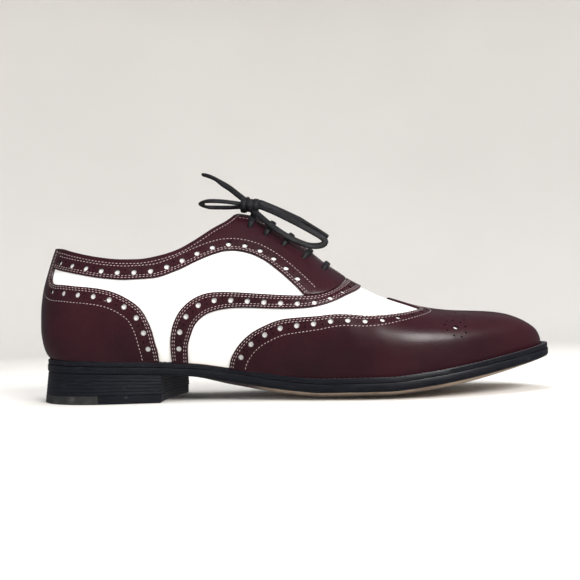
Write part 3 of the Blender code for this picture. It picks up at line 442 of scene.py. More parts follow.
class Side:
    """One side of the last as a fine grid over turn and girth share."""

    def __init__(self, side):
        self.side = side
        self.turns = np.linspace(0, math.pi, GRID_TURNS)
        self.shares = np.linspace(0, 1, GRID_SHARES)
        raw = sections(self.turns, side)
        known = girth_shares(raw)
        rows = [np.stack([np.interp(self.shares, known[i], raw[i, :, k]) for k in range(3)], -1)
                for i in range(GRID_TURNS)]
        self.points = np.array(rows)
        self.find_normals()
        relief = crease_relief(self.turns, self.shares, side)
        self.points = self.points + relief[..., None] * self.normals
        self.find_normals()

    def find_normals(self):
        self.by_turn = np.gradient(self.points, self.turns, axis=0)
        self.by_share = np.gradient(self.points, self.shares, axis=1)
        normal = np.cross(self.by_turn, self.by_share) * -self.side
        self.normals = normal / np.linalg.norm(normal, axis=2)[..., None]

    def read(self, table, turn, share):
        u = np.clip(np.asarray(turn, float) / math.pi, 0, 1) * (GRID_TURNS - 1)
        v = np.clip(np.asarray(share, float), 0, 1) * (GRID_SHARES - 1)
        i = np.minimum(u.astype(int), GRID_TURNS - 2)
        j = np.minimum(v.astype(int), GRID_SHARES - 2)
        a, b = (u - i)[..., None], (v - j)[..., None]
        low = table[i, j] * (1 - a) + table[i + 1, j] * a
        high = table[i, j + 1] * (1 - a) + table[i + 1, j + 1] * a
        return low * (1 - b) + high * b

    def at(self, turn, share, lift=0.0):
        """Points over the skin."""
        return self.read(self.points, turn, share) + np.asarray(lift)[..., None] * self.normal(turn, share)

    def normal(self, turn, share):
        normal = self.read(self.normals, turn, share)
        return normal / np.linalg.norm(normal, axis=-1)[..., None]

    def walk(self, place, vector, steps=1):
        """The turn and share reached by going along vectors in space."""
        place = np.array(place, float)
        for _ in range(steps):
            du = self.read(self.by_turn, place[..., 0], place[..., 1])
            dv = self.read(self.by_share, place[..., 0], place[..., 1])
            uu, uv, vv = (du * du).sum(-1), (du * dv).sum(-1), (dv * dv).sum(-1)
            wu, wv = (du * vector).sum(-1) / steps, (dv * vector).sum(-1) / steps
            det = uu * vv - uv * uv
            place[..., 0] += (wu * vv - wv * uv) / det
            place[..., 1] += (wv * uu - wu * uv) / det
        return place


def match_seams(one, other):
    """The same normals on both sides along the back, toe and ridge."""
    for seam in (np.s_[0, :], np.s_[-1, :], np.s_[:, -1]):
        both = one.normals[seam] + other.normals[seam]
        both /= np.linalg.norm(both, axis=-1)[..., None]
        one.normals[seam] = both
        other.normals[seam] = both


SKIN = {side: Side(side) for side in SIDES}
match_seams(SKIN[LATERAL], SKIN[MEDIAL])


def pick_turns():
    corners = [float(turn_of(run)) for run in (0.372, 0.385, 0.393, THROAT_END - 0.003)]
    corners += [TOP_TURN, THROAT_TURN]
    even = np.linspace(0, math.pi, STATIONS + 1)
    kept = [t for t in even if min(abs(t - c) for c in corners) > 0.006]
    return np.array(sorted(kept + corners))


TURNS = pick_turns()
COUNT = len(TURNS)
TOP = {side: top_share(TURNS, side) for side in SIDES}


def top_at(side, turn):
    return np.interp(turn, TURNS, TOP[side])


def to_grid(side, line):
    """Grid coordinates of turns and shares."""
    station = np.interp(line[:, 0], TURNS, np.arange(COUNT))
    return np.stack([station, line[:, 1] / top_at(side, line[:, 0]) * GIRTH_STEPS], -1)


def from_grid(side, places):
    turn = np.interp(places[:, 0], np.arange(COUNT), TURNS)
    return np.stack([turn, places[:, 1] / GIRTH_STEPS * top_at(side, turn)], -1)


# Lines on the skin, as arrays of turn and share
LINE_STEP = 0.0010


def walk_length(side, line):
    points = SKIN[side].at(line[:, 0], line[:, 1])
    length = np.cumsum(np.linalg.norm(np.diff(points, axis=0), axis=1))
    return np.concatenate([[0], length])


def resampled(side, line, spacing, start=0.0, end=0.0):
    """Even points along a line, from start to end metres before its ends."""
    length = walk_length(side, line)
    total = length[-1] - start - end
    count = max(int(round(total / spacing)), 1)
    wanted = start + np.linspace(0, total, count + 1)
    return np.stack([np.interp(wanted, length, line[:, k]) for k in (0, 1)], -1)


def pattern(side, table):
    """A pattern line as even points."""
    rows = [(i, run, share) for i, (run, share) in enumerate(table)]
    parameter = np.linspace(0, len(rows) - 1, 8 * len(rows))
    line = np.stack([turn_of(between(parameter, rows, 1)), between(parameter, rows, 2)], -1)
    line = line[line[:, 1] >= 0]
    return resampled(side, line, LINE_STEP)


def frames(side, line):
    """Points, tangents and left-hand directions of a line, up for one that goes forwards."""
    points = SKIN[side].at(line[:, 0], line[:, 1])
    normals = SKIN[side].normal(line[:, 0], line[:, 1])
    tangent = np.gradient(points, axis=0)
    tangent /= np.maximum(np.linalg.norm(tangent, axis=1), 1e-9)[:, None]
    left = np.cross(normals, tangent) * -side
    left /= np.linalg.norm(left, axis=1)[:, None]
    return points, tangent, left, normals


def offset(side, line, distance, steps=4):
    """A line beside another, on its left for a positive distance, which may vary with the run."""
    if isinstance(distance, tuple):
        distance = np.interp(run_of(line[:, 0]), *distance)[:, None]
    place = line
    for _ in range(steps):
        left = frames(side, place)[2]
        place = SKIN[side].walk(place, left * distance / steps)
        place[1:-1] = (place[:-2] + 2 * place[1:-1] + place[2:]) / 4
    keep = (place[:, 1] >= 0) & (place[:, 0] >= 0) & (place[:, 0] <= math.pi) & (place[:, 1] <= 1)
    place = place[keep]
    return resampled(side, place, LINE_STEP)


def below_top(side, line, margin=0.0):
    """The part of a line under the opening's edge."""
    return line[line[:, 1] < top_at(side, line[:, 0]) - margin]


def opening_edge(side, from_run, to_run):
    turns = np.array([t for t in np.linspace(0, math.pi, 1200)
                      if turn_of(from_run) <= t <= turn_of(to_run)])
    return resampled(side, np.stack([turns, top_at(side, turns)], -1), LINE_STEP)


# Materials
def inputs_of(node, values):
    for name, value in values.items():
        node.inputs[name].default_value = value
    return node


class Look:
    """A material under construction."""

    def __init__(self, name, **values):
        self.material = bpy.data.materials.new(name)
        self.material.use_nodes = True
        self.tree = self.material.node_tree
        self.shader = inputs_of(self.tree.nodes["Principled BSDF"], values)
        self.place = self.tree.nodes.new("ShaderNodeTexCoord").outputs["Object"]

    def add(self, kind, attributes=(), **values):
        node = self.tree.nodes.new("ShaderNode" + kind)
        for name, value in attributes:
            setattr(node, name, value)
        return inputs_of(node, values)

    def link(self, output, node, name):
        self.tree.links.new(output, node.inputs[name])

    def noise(self, scale, detail=3.0, roughness=0.55, place=None):
        node = self.add("TexNoise", Scale=scale, Detail=detail, Roughness=roughness)
        self.link(place or self.place, node, "Vector")
        return node.outputs["Fac"]

    def cells(self, scale, randomness=1.0):
        node = self.add("TexVoronoi", (("feature", "SMOOTH_F1"),), Scale=scale,
                        Randomness=randomness, Smoothness=0.6)
        self.link(self.place, node, "Vector")
        return node.outputs["Distance"]

    def stretched(self, scale):
        node = self.add("Mapping", Scale=scale)
        self.link(self.place, node, "Vector")
        return node.outputs["Vector"]

    def ramp(self, value, low, high, to_low=0.0, to_high=1.0):
        node = self.add("MapRange")
        node.interpolation_type = "SMOOTHSTEP"
        for name, number in (("From Min", low), ("From Max", high), ("To Min", to_low), ("To Max", to_high)):
            node.inputs[name].default_value = number
        self.link(value, node, "Value")
        return node.outputs["Result"]

    def math(self, operation, one, other):
        node = self.add("Math", (("operation", operation),))
        for k, value in enumerate((one, other)):
            if isinstance(value, (int, float)):
                node.inputs[k].default_value = value
            else:
                self.tree.links.new(value, node.inputs[k])
        return node.outputs[0]

    def mix(self, factor, one, other):
        node = self.add("Mix", (("data_type", "RGBA"),))
        self.tree.links.new(factor, node.inputs[0])
        for k, value in ((6, one), (7, other)):
            if isinstance(value, tuple):
                node.inputs[k].default_value = (*value, 1)
            else:
                self.tree.links.new(value, node.inputs[k])
        return node.outputs[2]

    def axis(self, name):
        node = self.add("SeparateXYZ")
        self.link(self.place, node, "Vector")
        return node.outputs[name]

    def bump(self, height, strength, distance, below=None):
        node = self.add("Bump", Strength=strength, Distance=distance)
        self.link(height, node, "Height")
        if below:
            self.link(below, node, "Normal")
        return node.outputs["Normal"]

    def finish(self, colour=None, roughness=None, normal=None):
        for name, value in (("Base Color", colour), ("Roughness", roughness), ("Normal", normal)):
            if value is not None:
                self.link(value, self.shader, name)
        return self.material


def leather(name, colour, deep, roughness, coat, grain=0.05, **values):
    look = Look(name, **{"Coat Weight": coat, "Coat Roughness": 0.20, "Specular IOR Level": 0.25, **values})
    tone = look.ramp(look.noise(22), 0.30, 0.72)
    fine = look.noise(420, 4.0)
    shade = look.mix(tone, colour, deep)
    pores = look.ramp(look.cells(1500), 0.1, 0.75)
    rough = look.ramp(look.noise(60, 5.0), 0.3, 0.7, roughness - 0.05, roughness + 0.07)
    coarse = look.bump(look.noise(160, 4.0), 0.10, 0.0008)
    normal = look.bump(look.math("ADD", pores, look.math("MULTIPLY", fine, 0.6)), grain * 4, 0.00012, coarse)
    return look.finish(shade, rough, normal)


def dark_leather():
    return leather("dark_leather", (0.027, 0.0056, 0.0095), (0.016, 0.0038, 0.0064), 0.34, 0.08)


def white_leather():
    look = Look("white_leather", **{"Coat Weight": 0.12, "Coat Roughness": 0.3, "IOR": 1.46})
    # Darker towards the bottom: from 60 mm over the floor down to 22 mm the white fades to (0.70, 0.69, 0.67)
    low = look.ramp(look.axis("Z"), 0.022, 0.060)
    marks = look.ramp(look.noise(55, 6.0, 0.65), 0.46, 0.74)
    upper_white = look.mix(marks, (0.86, 0.86, 0.86), (0.80, 0.80, 0.795))
    colour = look.mix(low, (0.70, 0.69, 0.67), upper_white)
    rough = look.ramp(look.noise(50, 5.0), 0.3, 0.7, 0.36, 0.48)
    pores = look.ramp(look.cells(1300), 0.1, 0.75)
    coarse = look.bump(look.noise(150, 4.0), 0.10, 0.0008)
    return look.finish(colour, rough, look.bump(pores, 0.14, 0.00012, coarse))


def lining_leather():
    look = Look("lining_leather")
    colour = look.mix(look.ramp(look.noise(30, 4.0), 0.3, 0.7), (0.50, 0.36, 0.23), (0.42, 0.29, 0.18))
    worn = look.ramp(look.noise(90, 5.0), 0.45, 0.75)
    colour = look.mix(worn, colour, (0.36, 0.25, 0.16))
    rough = look.ramp(look.noise(80), 0.3, 0.7, 0.55, 0.68)
    return look.finish(colour, rough, look.bump(look.cells(900), 0.2, 0.00015))


def blacked_edge(name="blacked_edge", layers=0.0011):
    """Waxed, dyed sole leather with the fine lines of its layers along the edge."""
    look = Look(name, **{"Coat Weight": 0.06, "Coat Roughness": 0.25, "Specular IOR Level": 0.25})
    strokes = look.noise(9, 5.0, 0.6, look.stretched((10, 10, 2 * math.pi / layers / 9)))
    colour = look.mix(look.ramp(strokes, 0.45, 0.75), (0.0045, 0.0050, 0.0080), (0.013, 0.014, 0.020))
    scuffs = look.ramp(look.noise(170, 6.0, 0.7), 0.62, 0.76)
    colour = look.mix(scuffs, colour, (0.050, 0.049, 0.053))
    rough = look.ramp(strokes, 0.3, 0.7, 0.30, 0.52)
    return look.finish(colour, rough, look.bump(strokes, 0.25, 0.0003))


def worn_sole():
    """Tan under the tread, painted dark in the waist and along the edges."""
    look = Look("worn_sole", **{"Coat Weight": 0.05})
    x = look.axis("X")
    fibres = look.noise(260, 6.0, 0.7, look.stretched((1.0, 3.0, 1.0)))
    tan = look.mix(look.ramp(fibres, 0.3, 0.75), (0.42, 0.32, 0.235), (0.27, 0.195, 0.135))
    dirt = look.ramp(look.noise(38, 6.0, 0.65), 0.50, 0.72)
    tan = look.mix(dirt, tan, (0.13, 0.085, 0.062))
    ragged = look.math("ADD", x, look.math("MULTIPLY", look.noise(60, 5.0, 0.7), 0.05))
    start = look.ramp(ragged, 0.100, 0.128)
    toe = look.ramp(ragged, 0.262, 0.290, 1.0, 0.35)
    colour = look.mix(look.math("MULTIPLY", start, toe), (0.042, 0.011, 0.013), tan)
    rough = look.ramp(fibres, 0.3, 0.7, 0.45, 0.72)
    return look.finish(colour, rough, look.bump(fibres, 0.3, 0.0002))


def sole_leather():
    look = Look("sole_leather")
    fibres = look.noise(240, 6.0, 0.7)
    colour = look.mix(look.ramp(fibres, 0.3, 0.75), (0.44, 0.33, 0.24), (0.26, 0.185, 0.13))
    return look.finish(colour, look.ramp(fibres, 0.3, 0.7, 0.5, 0.75), look.bump(fibres, 0.3, 0.0002))


def heel_rubber():
    look = Look("heel_rubber")
    dust = look.ramp(look.noise(120, 6.0, 0.7), 0.42, 0.72)
    colour = look.mix(dust, (0.018, 0.018, 0.019), (0.05, 0.048, 0.046))
    return look.finish(colour, look.ramp(dust, 0.0, 1.0, 0.55, 0.8), look.bump(look.noise(500), 0.2, 0.0001))


def lace_cotton():
    """Waxed braid: a fine herringbone of two crossing waves."""
    look = Look("lace_cotton", **{"Sheen Weight": 0.03, "Sheen Roughness": 0.5, "Specular IOR Level": 0.25})
    waves = []
    for angle in (0.7, -0.7):
        turned = look.add("Mapping", Rotation=(angle, 0.6, angle))
        look.link(look.place, turned, "Vector")
        wave = look.add("TexWave", Scale=430.0, Distortion=1.0, Detail=1.0)
        look.link(turned.outputs["Vector"], wave, "Vector")
        waves.append(wave.outputs["Fac"])
    braid = look.math("MAXIMUM", waves[0], waves[1])
    tone = look.ramp(look.noise(300, 4.0), 0.3, 0.7)
    colour = look.mix(look.math("MULTIPLY", braid, tone), (0.0035, 0.0035, 0.0045), (0.011, 0.011, 0.014))
    return look.finish(colour, look.ramp(braid, 0.0, 1.0, 0.62, 0.5), look.bump(braid, 0.45, 0.00025))


def thread(name, light, shade):
    look = Look(name, **{"Sheen Weight": 0.2})
    twist = look.noise(1400, 2.0)
    colour = look.mix(look.ramp(twist, 0.35, 0.7), light, shade)
    return look.finish(colour, look.ramp(twist, 0.3, 0.7, 0.55, 0.7), look.bump(twist, 0.4, 0.0001))


def pit_shadow():
    look = Look("pit_shadow")
    colour = look.mix(look.noise(800), (0.006, 0.003, 0.003), (0.012, 0.006, 0.006))
    return look.finish(colour, look.ramp(look.noise(600), 0.3, 0.7, 0.8, 0.95))


MATERIALS = {
    "dark": dark_leather(),
    "white": white_leather(),
    "lining": lining_leather(),
    "edge": blacked_edge(),
    "sole": worn_sole(),
    "top_leather": sole_leather(),
    "rubber": heel_rubber(),
    "lace": lace_cotton(),
    "thread": thread("thread_cream", (0.50, 0.41, 0.40), (0.33, 0.25, 0.25)),
    "black_thread": thread("thread_black", (0.020, 0.019, 0.021), (0.045, 0.043, 0.047)),
    "pit": pit_shadow(),
}


# Meshes and pieces
def put(name, points, faces, looks, nodes=(), which=None, sharp=35.0):
    """A piece of the shoe from points in the modelling frame."""
    data = bpy.data.meshes.new(name)
    shifted = np.asarray(points, float) - np.array((REST_POINT, 0, 0))
    data.from_pydata([tuple(p) for p in shifted], [], [tuple(int(k) for k in f) for f in faces])
    for look in looks:
        data.materials.append(MATERIALS[look])
    if which is not None:
        data.polygons.foreach_set("material_index", list(which))
    data.validate()
    data.shade_smooth()
    data.set_sharp_from_angle(angle=math.radians(sharp))
    piece = bpy.data.objects.new(name, data)
    bpy.context.scene.collection.objects.link(piece)
    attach(piece, "root")
    if nodes:
        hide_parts(*nodes)
    return piece


def welded(points, faces, reach=2e-5):
    """Joins points that coincide, and drops faces that collapse."""
    tree = kdtree.KDTree(len(points))
    for number, point in enumerate(points):
        tree.insert(point, number)
    tree.balance()
    first = np.arange(len(points))
    for number, point in enumerate(points):
        if first[number] == number:
            for _, other, _ in tree.find_range(point, reach):
                if other > number and first[other] == other:
                    first[other] = number
    kept = sorted(set(first.tolist()))
    order = {old: new for new, old in enumerate(kept)}
    index = np.array([order[k] for k in first])
    new_faces = []
    for face in faces:
        corners = []
        for k in face:
            if not corners or index[k] != corners[-1]:
                corners.append(int(index[k]))
        if len(corners) > 1 and corners[0] == corners[-1]:
            corners.pop()
        if len(set(corners)) > 2:
            new_faces.append(tuple(corners))
    return index, len(kept), new_faces


def averaged(values, index, count):
    total = np.zeros((count, values.shape[1]))
    np.add.at(total, index, values)
    return total / np.bincount(index, minlength=count)[:, None]


def shell(outer, inner, faces):
    """A closed shell between two layers of the same open surface."""
    index, count, faces = welded(outer, faces)
    outer, inner = averaged(outer, index, count), averaged(inner, index, count)
    edges = {}
    for face in faces:
        for a, b in zip(face, face[1:] + face[:1]):
            edges[a, b] = edges.get((a, b), 0) + 1
    walls = [(b, a, a + count, b + count) for (a, b) in edges if (b, a) not in edges]
    under = [tuple(k + count for k in face[::-1]) for face in faces]
    return np.vstack([outer, inner]), faces + under + walls, len(faces)


def grid_faces(columns, rows, flip):
    faces = []
    for i in range(columns - 1):
        for j in range(rows - 1):
            quad = (i * rows + j, (i + 1) * rows + j, (i + 1) * rows + j + 1, i * rows + j + 1)
            faces.append(quad[::-1] if flip else quad)
    return faces


def skin_layer(lifts):
    """The whole upper at the given lifts: one array of points each, and the faces."""
    layers = [[] for _ in lifts]
    faces = []
    steps = np.linspace(0, 1, GIRTH_STEPS + 1)
    for side in SIDES:
        turn = np.repeat(TURNS[:, None], GIRTH_STEPS + 1, 1)
        share = TOP[side][:, None] * steps[None, :]
        start = sum(len(part) for part in layers[0])
        for layer, lift in zip(layers, lifts):
            layer.append(SKIN[side].at(turn, share, np.full(turn.shape, lift)).reshape(-1, 3))
        new = grid_faces(COUNT, GIRTH_STEPS + 1, side == MEDIAL)
        faces += [tuple(k + start for k in face) for face in new]
    return [np.vstack(layer) for layer in layers], faces


UPPER_SPLIT = 0.0012


def make_upper():
    (outer, middle, inner), faces = skin_layer((0.0, -UPPER_SPLIT, -WALL))
    points, closed, _ = shell(outer, middle, faces)
    put("upper_leather", points, closed, ["white"], ["upper"])
    points, closed, _ = shell(middle, inner, faces)
    put("upper_lining", points, closed, ["lining"], ["upper"])


# Broguing: the big holes, and the pairs of pinholes between them
HOLE = 0.00150
HOLE_SPACING = 0.0097
PIN = 0.00042
PIN_APART = 0.0013
EYELET = 0.0016
CUT_ROUND = 0.00055
OVERLAY_TOP = GAP + OVERLAY
OVERLAY_UNDER = 0.00012


def ring(side, place, radius, count):
    """A circle on the skin around a place, anticlockwise in turn and share."""
    turn, share = np.full(count, place[0]), np.full(count, place[1])
    normal = SKIN[side].normal(turn, share)
    along = SKIN[side].read(SKIN[side].by_turn, turn, share)
    along /= np.linalg.norm(along, axis=1)[:, None]
    across = np.cross(normal, along) * -side
    angle = np.linspace(0, 2 * math.pi, count, endpoint=False)[:, None]
    vector = radius * (np.cos(angle) * along + np.sin(angle) * across)
    return SKIN[side].walk(np.stack([turn, share], -1), vector)


def brogue_row(side, line, first, spacing=HOLE_SPACING, last=0.003):
    """Big holes along a line, and a pair of pinholes between each two."""
    length = walk_length(side, line)
    count = int((length[-1] - first - last) / spacing) + 1
    reach = first + spacing * np.arange(count)
    big = np.stack([np.interp(reach, length, line[:, k]) for k in (0, 1)], -1)
    middle = np.concatenate([reach[:-1] + spacing / 2, [reach[-1] + spacing / 2]])
    middle = middle[middle < length[-1] - last]
    pins = np.stack([np.interp(middle, length, line[:, k]) for k in (0, 1)], -1)
    left = frames(side, line)[2]
    left = np.stack([np.interp(middle, length, left[:, k]) for k in range(3)], -1)
    small = [SKIN[side].walk(pins, left * PIN_APART), SKIN[side].walk(pins, -left * PIN_APART)]
    return big, np.vstack(small)


def anticlockwise(outline):
    x, y = outline[:, 0], outline[:, 1]
    area = (x * np.roll(y, -1) - np.roll(x, -1) * y).sum()
    return outline if area > 0 else outline[::-1]


def rounded(distance, reach=CUT_ROUND):
    """How far up a cut edge the leather is, from its distance to the cut."""
    share = np.clip(distance / reach, 0, 1)
    return 0.55 + 0.45 * np.sqrt(np.clip(1 - (1 - share) ** 2, 0, 1))


def patch(side, outline, cuts, holes):
    """Fine facets inside an outline, cut along it and around the holes."""
    outline = anticlockwise(to_grid(side, outline))
    loops = [anticlockwise(to_grid(side, ring(side, place, radius, 18 if radius > 2 * PIN else 8)))
             for place, radius in holes]
    low, high = outline[:, 0].min(), outline[:, 0].max()
    grid = [(i, j) for i in range(max(int(low) - 1, 0), min(int(high) + 3, COUNT))
            for j in range(GIRTH_STEPS + 1)]
    grid = np.array(grid, float)
    extra = [to_grid(side, offset(side, cut, shift, 1)) for cut in cuts for shift in
             (0.3 * CUT_ROUND, -0.3 * CUT_ROUND, CUT_ROUND, -CUT_ROUND)]
    for place, radius in holes:
        if radius > 2 * PIN:
            extra.append(to_grid(side, ring(side, place, radius + 0.00022, 18)))
    points = [Vector(p) for p in outline]
    faces = [tuple(range(len(points)))]
    for loop in loops:
        faces.append(tuple(range(len(points), len(points) + len(loop))))
        points += [Vector(p) for p in loop]
    points += [Vector(p) for p in np.vstack([grid] + extra)]
    result = geometry.delaunay_2d_cdt(points, [], faces, 0, 2e-3)
    used = {}
    triangles = []
    for triangle, origin in zip(result[2], result[5]):
        if list(origin) != [0]:
            continue
        triangles.append(tuple(used.setdefault(k, len(used)) for k in triangle))
    places = from_grid(side, np.array([result[0][k] for k in used]))
    if side == MEDIAL:
        triangles = [t[::-1] for t in triangles]
    return places, triangles


def edge_distance(side, points, cuts, holes):
    """Distance of each point to the nearest cut edge or hole."""
    samples = [SKIN[side].at(*resampled(side, cut, 0.0003).T) for cut in cuts]
    samples = np.vstack(samples) if samples else np.zeros((0, 3))
    tree = kdtree.KDTree(len(samples))
    for number, point in enumerate(samples):
        tree.insert(point, number)
    tree.balance()
    distance = np.array([tree.find(p)[2] if len(samples) else 1.0 for p in points])
    big = [(place, radius) for place, radius in holes if radius > 2 * PIN]
    if big:
        centres = np.array([SKIN[side].at(*np.array(place)) for place, _ in big])
        radii = np.array([radius for _, radius in big])
        gaps = np.linalg.norm(points[:, None] - centres[None], axis=2) - radii[None]
        distance = np.minimum(distance, np.maximum(gaps.min(1), 0) * 1.6)
    return distance


def make_overlay(name, node, shapes, look="dark", top=OVERLAY_TOP):
    """A cut leather panel. shapes holds side, outline, cut lines and holes."""
    outer, inner, faces = [], [], []
    for side, outline, cuts, holes in shapes:
        places, triangles = patch(side, outline, cuts, holes)
        skin = SKIN[side].at(places[:, 0], places[:, 1])
        normal = SKIN[side].normal(places[:, 0], places[:, 1])
        high = OVERLAY_UNDER + (top - OVERLAY_UNDER) * rounded(edge_distance(side, skin, cuts, holes))
        start = sum(len(part) for part in outer)
        outer.append(skin + high[:, None] * normal)
        inner.append(skin + OVERLAY_UNDER * normal)
        faces += [tuple(k + start for k in t) for t in triangles]
    points, closed, _ = shell(np.vstack(outer), np.vstack(inner), faces)
    return put(name, points, closed, [look], [node], sharp=50.0)


# Stitches
STITCH = 0.0021
STITCH_LENGTH = 0.00155
STITCH_WIDTH = 0.00034
STITCH_SIDES = 5
EDGE_STITCH = 0.0011
SECOND_STITCH = 0.0023


def stitches(name, lines, look="thread", pitch=STITCH, size=1.0):
    """Slightly slanted dashes of thread along lines, each with its side and lift."""
    points, faces = [], []
    shape = ((0.0, 0.0), (0.16, 0.8), (0.5, 1.0), (0.84, 0.8), (1.0, 0.0))
    for side, line, lift in lines:
        if len(line) < 3:
            continue
        even = resampled(side, line, pitch)
        _, tangent, left, normal = frames(side, even)
        centre = SKIN[side].at(even[:, 0], even[:, 1], np.full(len(even), lift))
        for k in range(len(even) - 1):
            middle = (centre[k] + centre[k + 1]) / 2
            along = centre[k + 1] - centre[k]
            along /= np.linalg.norm(along)
            along = along + 0.10 * left[k]
            along /= np.linalg.norm(along)
            across = np.cross(normal[k], along)
            start = len(points)
            for share, swell in shape:
                base = middle + along * (share - 0.5) * STITCH_LENGTH * size
                if swell == 0:
                    points.append(base - normal[k] * 0.0001)
                    continue
                for s in range(STITCH_SIDES):
                    angle = 2 * math.pi * s / STITCH_SIDES + math.pi / 2
                    points.append(base + swell * STITCH_WIDTH / 2 * size
                                  * (math.cos(angle) * across + 0.8 * math.sin(angle) * normal[k]))
            first, last = start, start + 1 + 3 * STITCH_SIDES
            for s in range(STITCH_SIDES):
                n = (s + 1) % STITCH_SIDES
                faces.append((first, start + 1 + n, start + 1 + s))
                for r in range(2):
                    low, high = start + 1 + r * STITCH_SIDES, start + 1 + (r + 1) * STITCH_SIDES
                    faces.append((low + s, low + n, high + n, high + s))
                low = start + 1 + 2 * STITCH_SIDES
                faces.append((low + s, low + n, last))
    return put(name, points, faces, [look], sharp=80.0)


def discs(name, entries, look):
    """Thin round plugs on the skin: side, place, radius and lift."""
    points, faces = [], []
    for side, place, radius, lift in entries:
        loop = ring(side, place, radius, 10)
        start = len(points)
        points += list(SKIN[side].at(loop[:, 0], loop[:, 1], np.full(10, lift)))
        points += list(SKIN[side].at(loop[:, 0], loop[:, 1], np.full(10, lift - 0.00006)))
        face = tuple(range(start, start + 10))
        flip = side == MEDIAL
        faces.append(face[::-1] if flip else face)
        under = tuple(k + 10 for k in face)
        faces.append(under if flip else under[::-1])
        for k in range(10):
            n = (k + 1) % 10
            wall = (start + n, start + k, start + 10 + k, start + 10 + n)
            faces.append(wall[::-1] if flip else wall)
    return put(name, points, faces, [look])


STRIP = 0.0081
BAND_HOLES = 0.0043
EDGE_HOLES = 0.0049
INNER_STITCH = 0.0096
WING_HOLES = ((0.38, 0.50, 0.60, 0.75), (-0.0049, -0.0046, -0.0036, -0.0038))
WING_INNER_STITCH = ((0.38, 0.50, 0.60, 0.75), (-0.0096, -0.0088, -0.0070, -0.0072))
STRAP_HOLES = 0.0048
COLLAR_STITCH = 0.0027
SLIT_STITCH = 0.0080
MEDALLION = (0.806, 0.330)


def lace_places(side):
    """The eyelets, square to the ridge from each lace row."""
    places = []
    for run, reach in zip(LACE_ROWS, EYELET_REACH):
        ridge = np.array([[float(turn_of(run + 0.008)), 1.0]])
        ahead = SKIN[side].at(turn_of(run + 0.03), 1.0) - SKIN[side].at(turn_of(run - 0.02), 1.0)
        ahead /= np.linalg.norm(ahead)
        path = [ridge[0]]
        for _ in range(LACE_STEPS):
            normal = SKIN[side].normal(*path[-1])
            down = np.cross(ahead, normal) * -side
            down /= np.linalg.norm(down)
            path.append(SKIN[side].walk(path[-1], down * reach / LACE_STEPS))
        places.append(np.array(path))
    return places


EYELET_REACH = (0.0170, 0.0195, 0.0210, 0.0210, 0.0200)
LACE_STEPS = 18


def counter_shape(side):
    line = below_top(side, pattern(side, COUNTER_LINE))
    end = line[-1]
    foot = np.array([[0.0, 0.0], [line[0, 0], 0.0]])
    top = np.array([[end[0], float(top_at(side, end[0]))], [0.0, float(top_at(side, 0.0))]])
    return np.vstack([foot, line, top]), line


WING_PEAK = 0.698


def wing_shape(side):
    line = pattern(side, WING_LINE)
    outline = np.vstack([[[line[0, 0], 0.0]], line,
                         [[float(turn_of(WING_PEAK)), 1.0], [math.pi, 1.0], [math.pi, 0.0]]])
    return outline, line


def strap_shape(side):
    outer, inner = pattern(side, STRAP_OUTER), pattern(side, STRAP_INNER)
    outline = np.vstack([[[outer[0, 0], 0.0]], outer, inner[::-1], [[inner[0, 0], 0.0]]])
    return outline, outer, inner


def crossing(one, other):
    """Where two lines meet, searched from the end of the first."""
    for a, b in reversed(list(zip(one, one[1:]))):
        for c, d in zip(other, other[1:]):
            hit = geometry.intersect_line_line_2d(Vector(a), Vector(b), Vector(c), Vector(d))
            if hit:
                return np.array(hit)
    return one[-1]


BAND_CLEAR = 0.0005


def band_shape(side):
    """Collar and facing in one piece, from the back strip to the throat."""
    lower = pattern(side, BAND_LOWER)
    strap = offset(side, pattern(side, STRAP_OUTER), BAND_CLEAR, 1)
    strip = offset(side, below_top(side, pattern(side, COUNTER_LINE)), -BAND_CLEAR, 1)
    throat, back = crossing(lower, strap), crossing(lower[::-1], strip)
    lower = lower[(lower[:, 0] > back[0] + 1e-4) & (lower[:, 0] < throat[0] - 1e-4)]
    strap = strap[(strap[:, 0] > throat[0] + 1e-4) & (strap[:, 0] < THROAT_TURN)]
    strap = below_top(side, strap, 1e-3)
    strip = strip[(strip[:, 1] > back[1] + 1e-3)]
    strip = below_top(side, strip, 1e-3)
    turns = np.linspace(strap[-1, 0], strip[-1, 0], 300)
    corners = TURNS[(TURNS > strip[-1, 0]) & (TURNS < strap[-1, 0])]
    turns = np.array(sorted(set(turns) | set(corners)))
    top = np.stack([turns, top_at(side, turns)], -1)
    outline = np.vstack([lower, throat[None], strap, top[::-1], strip[::-1], back[None]])
    return outline, np.vstack([back[None], lower, throat[None]]), strap, strip, top


def medallion(side):
    """Punched toe ornament: a ring of dots around a hole, and a spray to the ridge."""
    centre = np.array([float(turn_of(MEDALLION[0])), MEDALLION[1]])
    holes = [(centre, 0.0014)]
    holes += [(p, PIN * 1.6) for p in ring(side, centre, 0.0062, 9)]
    arc = []
    for k in range(1, 7):
        share = MEDALLION[1] + (1 - MEDALLION[1]) * k / 6.5
        arc.append((float(turn_of(MEDALLION[0] + 0.028 * math.sin(k * 0.9))), share))
    holes += [(np.array(p), 0.0011 if k % 3 == 2 else PIN * 1.6) for k, p in enumerate(arc)]
    return holes


